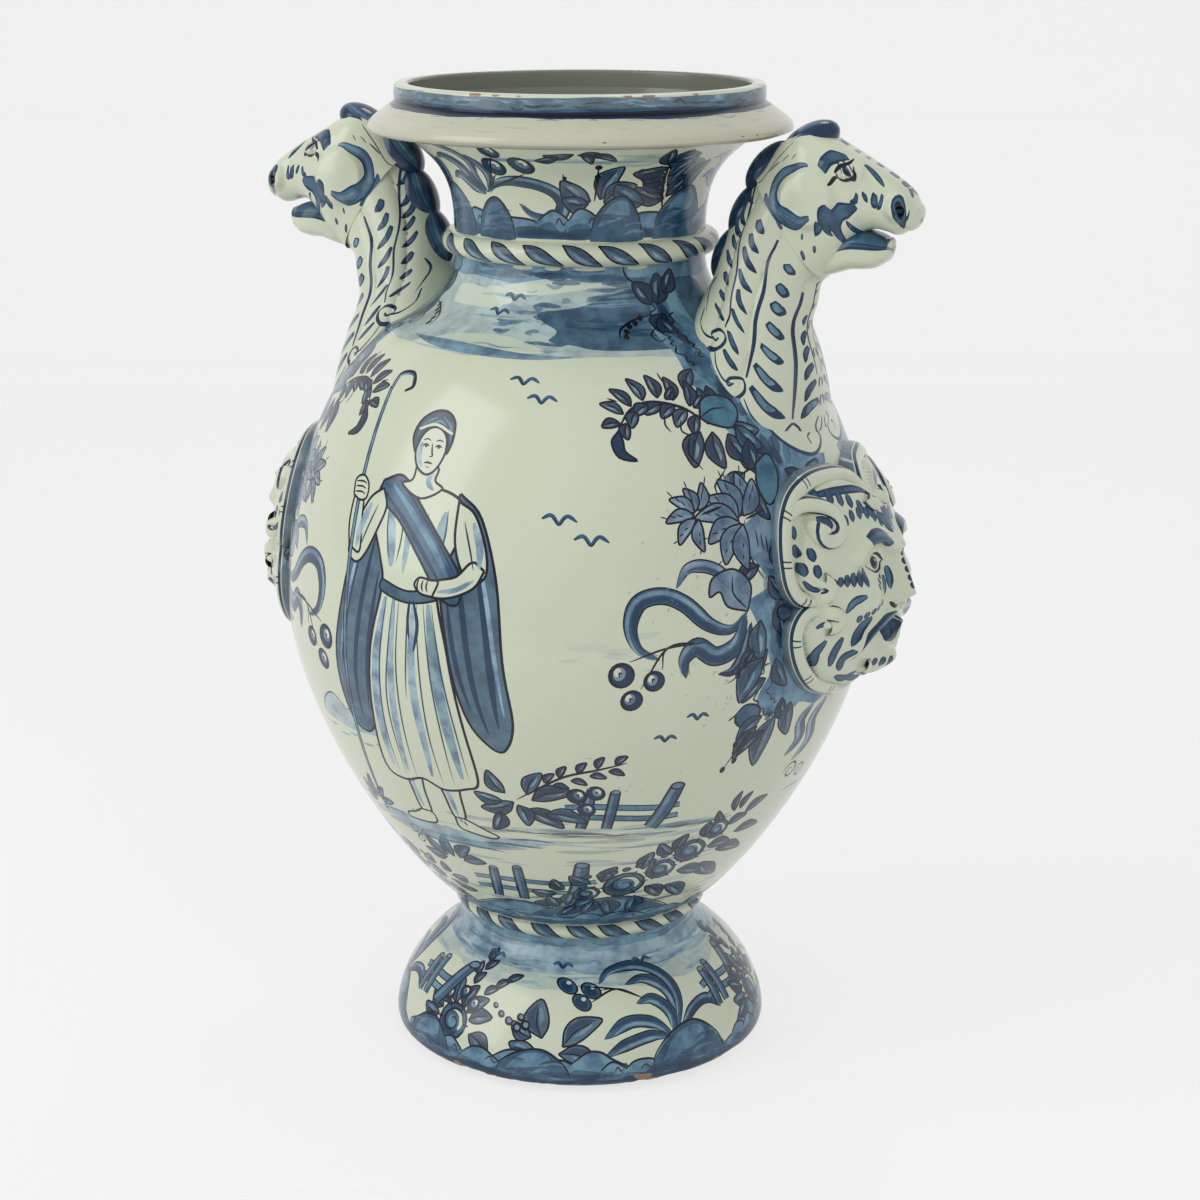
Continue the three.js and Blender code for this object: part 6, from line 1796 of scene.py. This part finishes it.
# Middle lines of the scrolls: across, up, and the height of the band over the belly
UPPER_SCROLL = [
    (12.7, 45.4, 16), (10, 41, 16), (4.7, 41.6, 16), (2.7, 47.5, 14.4), (6.7, 53.5, 12),
    (18.8, 57.2, 8.8), (38.9, 58.3, 8), (52.9, 56.2, 8), (63.7, 51.3, 8), (70.4, 43.2, 8),
    (73, 35.6, 8), (74.4, 27, 8), (74.4, 17.8, 8), (73, 9.2, 8), (68.3, 2.2, 8), (61, -0.5, 8.8),
    (54.9, 2.2, 9.6), (53.6, 7.6, 10.4), (58.3, 10.8, 10.4),
]
TEMPLE_SCROLL = [
    (52.3, 37.8, 16), (54.9, 33.5, 16), (50.3, 29.2, 16), (42.9, 30.2, 16), (38.9, 36.2, 16),
    (41.5, 43.2, 14.4), (50.3, 47, 12), (61, 48.1, 9.6), (70.4, 43.2, 7.2),
]
LOWER_SCROLL = [
    (56.3, -14.6, 9.6), (50.3, -15.1, 9.6), (49.6, -9.2, 9.6), (59, -6.5, 8.8), (67, -10.3, 8),
    (71, -17.8, 8), (69.7, -27.5, 8), (64.3, -37.8, 8), (54.3, -47.5, 8), (38.9, -53.5, 8),
    (26.8, -56.7, 8), (18.8, -54, 9.6), (18.1, -47.5, 11.2), (24.1, -43.7, 12),
]


CURL_LIFT = 3.5    # how far the curls stand out from the face
MASK_WEIGHT = 1.75    # how much fuller a stroke of the mask is laid than its width says
FACE_SINK, FACE_EDGE_SLOPE = 1.5, 3.5    # depth of the face's edge in the wall, and how wide its slope is
# Painted shade on the face near its outline, under the inner edges of the frame: its strength, and its width
# in millimetres
EDGE_PAINTED_SHADE, EDGE_PAINTED_SHADE_WIDTH = 0.25, 8


def beside(scroll, start, end, width):
    """Line along the inner edge of a band, from start to end in millimetres along it."""
    path = spline(np.array(scroll)[:, :2], 8)
    run = length_along(path)
    start, end = (start, end) if start > 0 else (run[-1] + start, run[-1] + end)
    spots = np.linspace(start, end, 9)
    reach = FRAME_BAND / 2 + width * 0.3
    return places_at(spots, run, path) - places_at(spots, run, leftward(path)) * reach


def paint_face():
    """Painted features of the mask's face."""
    marks = []
    for side in (1, -1):
        brush = Brush(lambda xy: xy, marks, flip=side < 0)

        def pull(points, width, tone, taper=(0.5, 0.15)):
            brush.line(points, width * MASK_WEIGHT, DEEP, 1.0, taper)
            brush.line(points, width * MASK_WEIGHT * 0.5, tone, 1.0, taper)

        # Brows, eyes and nose
        pull([(8, 20), (15, 26), (26, 25.5)], 4.4, SLATE, (0.4, 0.6))
        brush.line([(10, 11.5), (14, 15.5), (19, 16.5), (26.5, 12)], 1.0, INK)
        brush.line([(10, 11.5), (15, 7.6), (21, 7.8), (26.5, 12)], 0.8, INK)
        brush.mark(oval(18, 11.8, 3.4), DEEP)
        brush.mark(oval(18, 11.8, 2.0), INK)
        brush.mark(oval(17, 13, 0.7), CREAM)
        for y in (14, 9.5, 5, 0.5, -3.5):
            brush.mark(oval(0.6, y, 1.5, 1.9), DEEP)
        pull([(8, 8), (8.6, 1), (9.5, -4)], 2.2, TEAL)
        pull([(12, 4), (13, -1), (14.5, -6)], 2.2, TEAL)
        brush.line([(5, -13), (8.5, -13.6), (11.5, -10.5)], 1.4, INK)
        # Cheeks, temples and forehead
        for k in range(6):
            pull([(30 + 4.2 * k, 12 - 0.4 * k), (30.6 + 4.2 * k, 2 + 0.8 * k)], 2.4, SLATE)
        for k in range(6):
            a = math.radians(60 + 17 * k)
            x, y = 24 + 20 * math.cos(a), 26 + 16 * math.sin(a)
            pull([(x, y), (x + 1.5, y - 6)], 2.2, SLATE)
        for k in range(5):
            pull([(18 + 4.6 * k, -8 - 1.0 * k), (17.4 + 4.6 * k, -11.5 - 1.2 * k)], 2.3, SLATE)
        for k in range(3):
            pull([(14.5 + 2.6 * k, 4.4 - 2.2 * k), (17 + 2.6 * k, 4.0 - 2.2 * k)], 1.9, SLATE)
        # Moustache, mouth and chin
        pull([(7, -17.5), (17, -19), (28, -24), (38, -33)], 4.0, TEAL, (0.3, 0.1))
        pull([(27, -15), (34, -19), (41, -28)], 3.0, SLATE, (0.3, 0.1))
        brush.line([(0, -22.5), (7, -23), (14, -27), (16.5, -31)], 1.1, INK)
        pull([(46, -22), (50, -30), (50, -38)], 3.0, SLATE, (0.4, 0.3))
        pull([(40, -30), (44, -36), (42, -42)], 3.0, SLATE, (0.4, 0.3))
        for k in range(4):
            pull([(4 + 5 * k, -43 + 0.6 * k), (5 + 5.6 * k, -49 + 1.4 * k)], 2.3, SLATE)
        pull([(56, -22), (60, -29), (58, -37)], 2.6, SLATE, (0.4, 0.3))
        pull([(28, -46), (36, -48), (44, -45)], 2.4, SLATE, (0.3, 0.3))
        pull([(33, -2), (40, -4), (45, -9)], 2.6, TEAL, (0.3, 0.3))
        # Shade inside the curls, dashes along the frame and leaf over the forehead
        for scroll, start, end, width in (
                (UPPER_SCROLL, 8, 66, 4.2), (UPPER_SCROLL, -34, -6, 3.0), (TEMPLE_SCROLL, 6, 44, 4.4),
                (LOWER_SCROLL, 6, 30, 3.0), (LOWER_SCROLL, -34, -4, 3.6)):
            line = beside(scroll, start, end, width)
            brush.line(line, width, DEEP, 1.0, (0.3, 0.5))
            brush.line(line, width * 0.4, SLATE, 0.8, (0.3, 0.5))
        for x, y, lean in ((65.5, 35, 0), (66.5, 26, 0), (66, 17, 0), (60.5, 24, 0), (59.5, 15.5, 0),
                           (14, 39, 1), (20, 42, 1), (26, 46, 2), (32, 48, 3), (38, 50, 3), (45, 52, 3),
                           (53, 51.5, 3)):
            pull([(x, y + 3), (x + lean * 0.4, y - 4)], 2.6, SLATE)
        pull([(1.5, 25), (4, 31), (10, 36)], 3.4, SLATE, (0.2, 0.6))
        pull([(0.8, 27), (1.5, 33), (2, 38)], 2.8, SLATE, (0.2, 0.6))
    # Open mouth
    mouth = [(-15, -30), (-8, -25), (0, -24), (8, -25), (15, -30), (8, -34), (0, -35), (-8, -34)]
    marks.append((spline(mouth + [mouth[0]], 4), (*DEEP, 1.0)))
    marks.append((spline([(x * 0.8, -30 + (y + 30) * 0.62) for x, y in mouth + [mouth[0]]], 4),
                  (*SLATE, 0.9)))
    return marks


FACE_SIDE = np.array(spline(FACE_OUTLINE, 4))
FACE_LOOP = np.vstack([FACE_SIDE, (FACE_SIDE[1:-1] * (-1, 1))[::-1]])
CLOSED_FACE_LOOP = np.vstack([FACE_LOOP, FACE_LOOP[:1]])


def face_part():
    """The mask's face: a relief on the belly, cut out along its outline and sunk there."""
    marks = paint_face() + [(FACE_LOOP, (*CREAM, 0.0))]

    def surface(u, v):
        inner = eased(np.clip(distance_to(u, v, CLOSED_FACE_LOOP) / FACE_EDGE_SLOPE, 0, 1))
        return on_belly(u, v, -FACE_SINK + (face_rise(u, v) + FACE_SINK) * inner)

    flat, faces, paint = inlay(((-76, -62), (76, 62)), marks, (FACE_GRID, FACE_GRID))
    middle = flat[faces].mean(axis=1)
    kept = covered(FACE_LOOP, middle[:, 0], middle[:, 1])
    points = surface(flat[:, 0], flat[:, 1])
    step = 0.25
    a = surface(flat[:, 0] + step, flat[:, 1]) - surface(flat[:, 0] - step, flat[:, 1])
    b = surface(flat[:, 0], flat[:, 1] + step) - surface(flat[:, 0], flat[:, 1] - step)
    normals = np.cross(a, b)
    normals /= np.linalg.norm(normals, axis=1)[:, None]
    # A pale blue wash near the outline darkens the face there as painted shade under the frame
    wash = np.zeros((len(flat), 4))
    near_edge = np.clip((EDGE_PAINTED_SHADE_WIDTH - distance_to(*flat.T, CLOSED_FACE_LOOP)) / EDGE_PAINTED_SHADE_WIDTH, 0, 1)
    wash[:, :3], wash[:, 3] = WASH, near_edge * EDGE_PAINTED_SHADE
    faces = turned_to_normals(points, faces[kept], normals)
    return {"points": points, "faces": faces, "normals": normals, "paint": paint[kept], "wash": wash}


def strap_part(scroll, side, bars, skirt):
    """One band of the frame, painted with edge lines and pairs of short bars."""
    path = spline(scroll, 8)
    run = length_along(path[:, :2])
    path = places_at(np.linspace(0, run[-1], int(run[-1] / 1.2) + 1), run, path)
    well_inside = distance_to(path[:, 0], path[:, 1], CLOSED_FACE_LOOP) > 5
    on_face = covered(FACE_LOOP, path[:, 0], path[:, 1]) & well_inside
    proud = np.where(on_face, face_rise(path[:, 0], path[:, 1]) + CURL_LIFT, 0)
    path[:, 2] = np.maximum(path[:, 2], proud)
    for _ in range(6):
        path[1:-1] = (path[:-2] + 2 * path[1:-1] + path[2:]) / 4
    run = length_along(path[:, :2])
    along = directions(path[:, :2])
    heading = np.unwrap(np.arctan2(along[:, 1], along[:, 0]))
    bend = np.gradient(heading, run)
    bend = np.convolve(np.pad(bend, 2, "edge"), np.ones(5) / 5, "valid")
    half = FRAME_BAND / 2
    length = run[-1]

    def stripe(low, high, tone, strength=1.0):
        return np.array([(0, low * half), (length, low * half), (length, high * half), (0, high * half)],
                        float), (*tone, strength)

    marks = [stripe(0.62, 0.8, DEEP), stripe(-0.8, -0.62, DEEP), stripe(-1.0, -0.94, SLATE, 0.8)]
    if skirt:
        marks.append(stripe(0.84, 1.0, SLATE, 0.9))
    for s in np.arange(bars[0], bars[1], 24):
        for shift in (0, 3.0):
            marks.append((ribbon([(s + shift, half * 0.72), (s + shift + 0.6, -half * 0.15)], 0.85, (1, 1)),
                          (*INK, 0.95)))

    def surface(s, w):
        spot = places_at(s, run, path)
        head = np.interp(s, run, heading)
        curve = np.interp(s, run, bend)
        room = np.where(curve * w > 0, CURL_FILL / np.maximum(np.abs(curve), 1e-6), 1e6)
        off = np.sign(w) * np.minimum(np.abs(w), room)
        share = np.clip(np.abs(w) / half, 0, 1)
        swell = (FRAME_RISE + 1) * np.sqrt(1 - share ** 2.4) - 1
        rise = swell + (spot[:, 2] - FRAME_RISE) * np.minimum((1 - share) * 6, 1)
        return on_belly((spot[:, 0] - np.sin(head) * off) * side, spot[:, 1] + np.cos(head) * off, rise)

    return surface_part(surface, ((0, -half), (length, half)), STRAP_GRID, (1, 1), marks)


def ball_part(across, up, radius, rise, marks=()):
    """Round button on the belly, with its flat side inside the wall."""
    def surface(turn, t):
        a, b = np.radians(turn), np.radians(t)
        return on_belly(across + radius * np.sin(b) * np.cos(a), up + radius * np.sin(b) * np.sin(a),
                        rise * np.cos(b) - 1)

    return surface_part(surface, ((0, 0.5), (360, 95)), BUTTON_GRID, (radius / 60, radius / 60), list(marks))


def mask_pieces():
    """Face and scroll frame of the mask, each with its mirror image."""
    face = face_part()
    bands = ((TEMPLE_SCROLL, (0, 0), False), (UPPER_SCROLL, (66, 160), True), (LOWER_SCROLL, (40, 110), True))
    straps = [strap_part(scroll, side, bars, skirt) for scroll, bars, skirt in bands for side in (1, -1)]
    for part in straps:
        fix_facing(part)
    buttons = []
    dark = [(np.array([(-1, -1), (361, -1), (361, 96), (-1, 96)], float), (*DEEP, 1.0))]
    for side in (1, -1):
        buttons.append(ball_part(74.5 * side, -5.5, 4.6, 5, dark))
        for across, up, rise in (
                (58.3, 8.5, 17), (51.5, 35.5, 18.5), (9.8, 44.8, 18.5), (55.6, -13.6, 17),
                (23.6, -46.5, 19)):
            buttons.append(ball_part(across * side, up, 4.4, rise))
    for part in buttons:
        fix_facing(part)
    for side in ("right", "left"):
        turn = (lambda part: part) if side == "right" else mirrored
        build_piece(side + "_painted_mask", [turn(face)], GLAZE, [side + "_mask_face"])
        build_piece(side + "_painted_frame", [turn(part) for part in straps + buttons], GLAZE,
                    [side + "_mask_frame"])


def fix_facing(part):
    """Turns normals and faces outward from the axis of the jar."""
    out = part["points"] * (1, 1, 0)
    if np.einsum("ij,ij->i", part["normals"], out).sum() < 0:
        part["normals"] = -part["normals"]
        part["faces"] = part["faces"][:, ::-1]


mask_pieces()


# Studio
CAMERA_TURN = 24    # the camera stands this far round from -Y, in degrees
CAMERA_DISTANCE, CAMERA_HEIGHT, CAMERA_DIP = 1.35, 0.634, 15.86
PICTURE, FOCAL_LENGTH, CENTRE_SHIFT = 1200, 2467, 20    # in pixels of the photograph
SENSOR = 36
FLOOR_GLOW = 0.72    # share of plain white in what the camera sees of the floor
FLOOR_HALF_WIDTH = 4.5
# Side view of the floor, which rises behind the jar
FLOOR_LINE = [(-1.6, 0), (1.5, 0), (1.9, 0.08), (2.15, 0.3), (2.25, 0.7), (2.3, 3.2)]
AIM_HEIGHT = 0.28


def floor_material():
    """Takes light and shadow, and shows as near white to the camera and in the glaze."""
    material = bpy.data.materials.new("studio floor")
    material.use_nodes = True
    tree = material.node_tree
    shader = tree.nodes["Principled BSDF"]
    shader.inputs["Base Color"].default_value = (0.80, 0.80, 0.80, 1)
    shader.inputs["Roughness"].default_value = 0.9
    shader.inputs["Specular IOR Level"].default_value = 0.0
    glow = add_node(tree, "Emission", {"Color": (1.0, 0.997, 0.99, 1), "Strength": 1.0})
    rays = add_node(tree, "LightPath")
    seen = (rays, "Is Camera Ray")
    for ray in ("Is Glossy Ray", "Is Transmission Ray"):
        either = add_node(tree, "Math", (), {0: seen, 1: (rays, ray)}, operation="MAXIMUM")
        seen = (either, "Value")
    share = add_node(tree, "Math", {1: FLOOR_GLOW}, {0: seen}, operation="MULTIPLY")
    both = add_node(tree, "MixShader", (), {0: (share, "Value"), 1: (shader, "BSDF"), 2: (glow, "Emission")})
    tree.links.new(both.outputs["Shader"], tree.nodes["Material Output"].inputs["Surface"])
    return material


def studio_floor(angle):
    """Floor that curves up into a backdrop, square to the camera."""
    soft = spline(FLOOR_LINE, 8)
    points = []
    for along, height in soft:
        for across in (-FLOOR_HALF_WIDTH, FLOOR_HALF_WIDTH):
            points.append((across * math.cos(angle) - along * math.sin(angle),
                           across * math.sin(angle) + along * math.cos(angle), height))
    faces = [(2 * k, 2 * k + 1, 2 * k + 3, 2 * k + 2) for k in range(len(soft) - 1)]
    mesh = bpy.data.meshes.new("studio floor")
    mesh.from_pydata(points, [], faces)
    mesh.polygons.foreach_set("use_smooth", [True] * len(faces))
    mesh.materials.append(floor_material())
    floor = bpy.data.objects.new("studio floor", mesh)
    bpy.context.scene.collection.objects.link(floor)


def softbox(name, turn, distance, height, size, power, seen_in_glaze):
    """Area lamp at a turn from the camera's side, aimed at the middle of the jar."""
    lamp = bpy.data.lights.new(name, "AREA")
    lamp.shape = "RECTANGLE"
    lamp.size, lamp.size_y = size
    lamp.energy = power
    item = bpy.data.objects.new(name, lamp)
    where = math.radians(CAMERA_TURN) + math.radians(turn)
    spot = Vector((math.sin(where) * distance, -math.cos(where) * distance, height))
    item.location = spot
    item.rotation_euler = (Vector((0, 0, AIM_HEIGHT)) - spot).to_track_quat("-Z", "Y").to_euler()
    item.visible_glossy = seen_in_glaze
    bpy.context.scene.collection.objects.link(item)


def studio():
    """Pale room light, the floor and three soft lamps."""
    scene = bpy.context.scene
    scene.view_settings.view_transform = "Standard"
    world = bpy.data.worlds.new("studio")
    scene.world = world
    world.use_nodes = True
    sky = world.node_tree.nodes["Background"]
    sky.inputs["Color"].default_value = (0.93, 0.95, 1.0, 1)
    sky.inputs["Strength"].default_value = 0.6
    studio_floor(math.radians(CAMERA_TURN))
    softbox("left softbox", -66, 1.7, 1.2, (1.1, 1.9), 14, True)
    softbox("front softbox", 28, 2.0, 1.7, (0.9, 0.9), 9, False)
    softbox("top softbox", 160, 1.0, 2.1, (0.5, 0.4), 3.5, True)


def camera():
    """The photograph's view: a little above the lip, looking down."""
    scene = bpy.context.scene
    lens = bpy.data.cameras.new("camera")
    lens.sensor_width = SENSOR
    lens.lens = FOCAL_LENGTH / PICTURE * SENSOR
    lens.shift_x = CENTRE_SHIFT / PICTURE
    item = bpy.data.objects.new("camera", lens)
    angle = math.radians(CAMERA_TURN)
    item.location = (math.sin(angle) * CAMERA_DISTANCE, -math.cos(angle) * CAMERA_DISTANCE, CAMERA_HEIGHT)
    item.rotation_euler = (math.radians(90 - CAMERA_DIP), 0, angle)
    scene.collection.objects.link(item)
    scene.camera = item


studio()
camera()
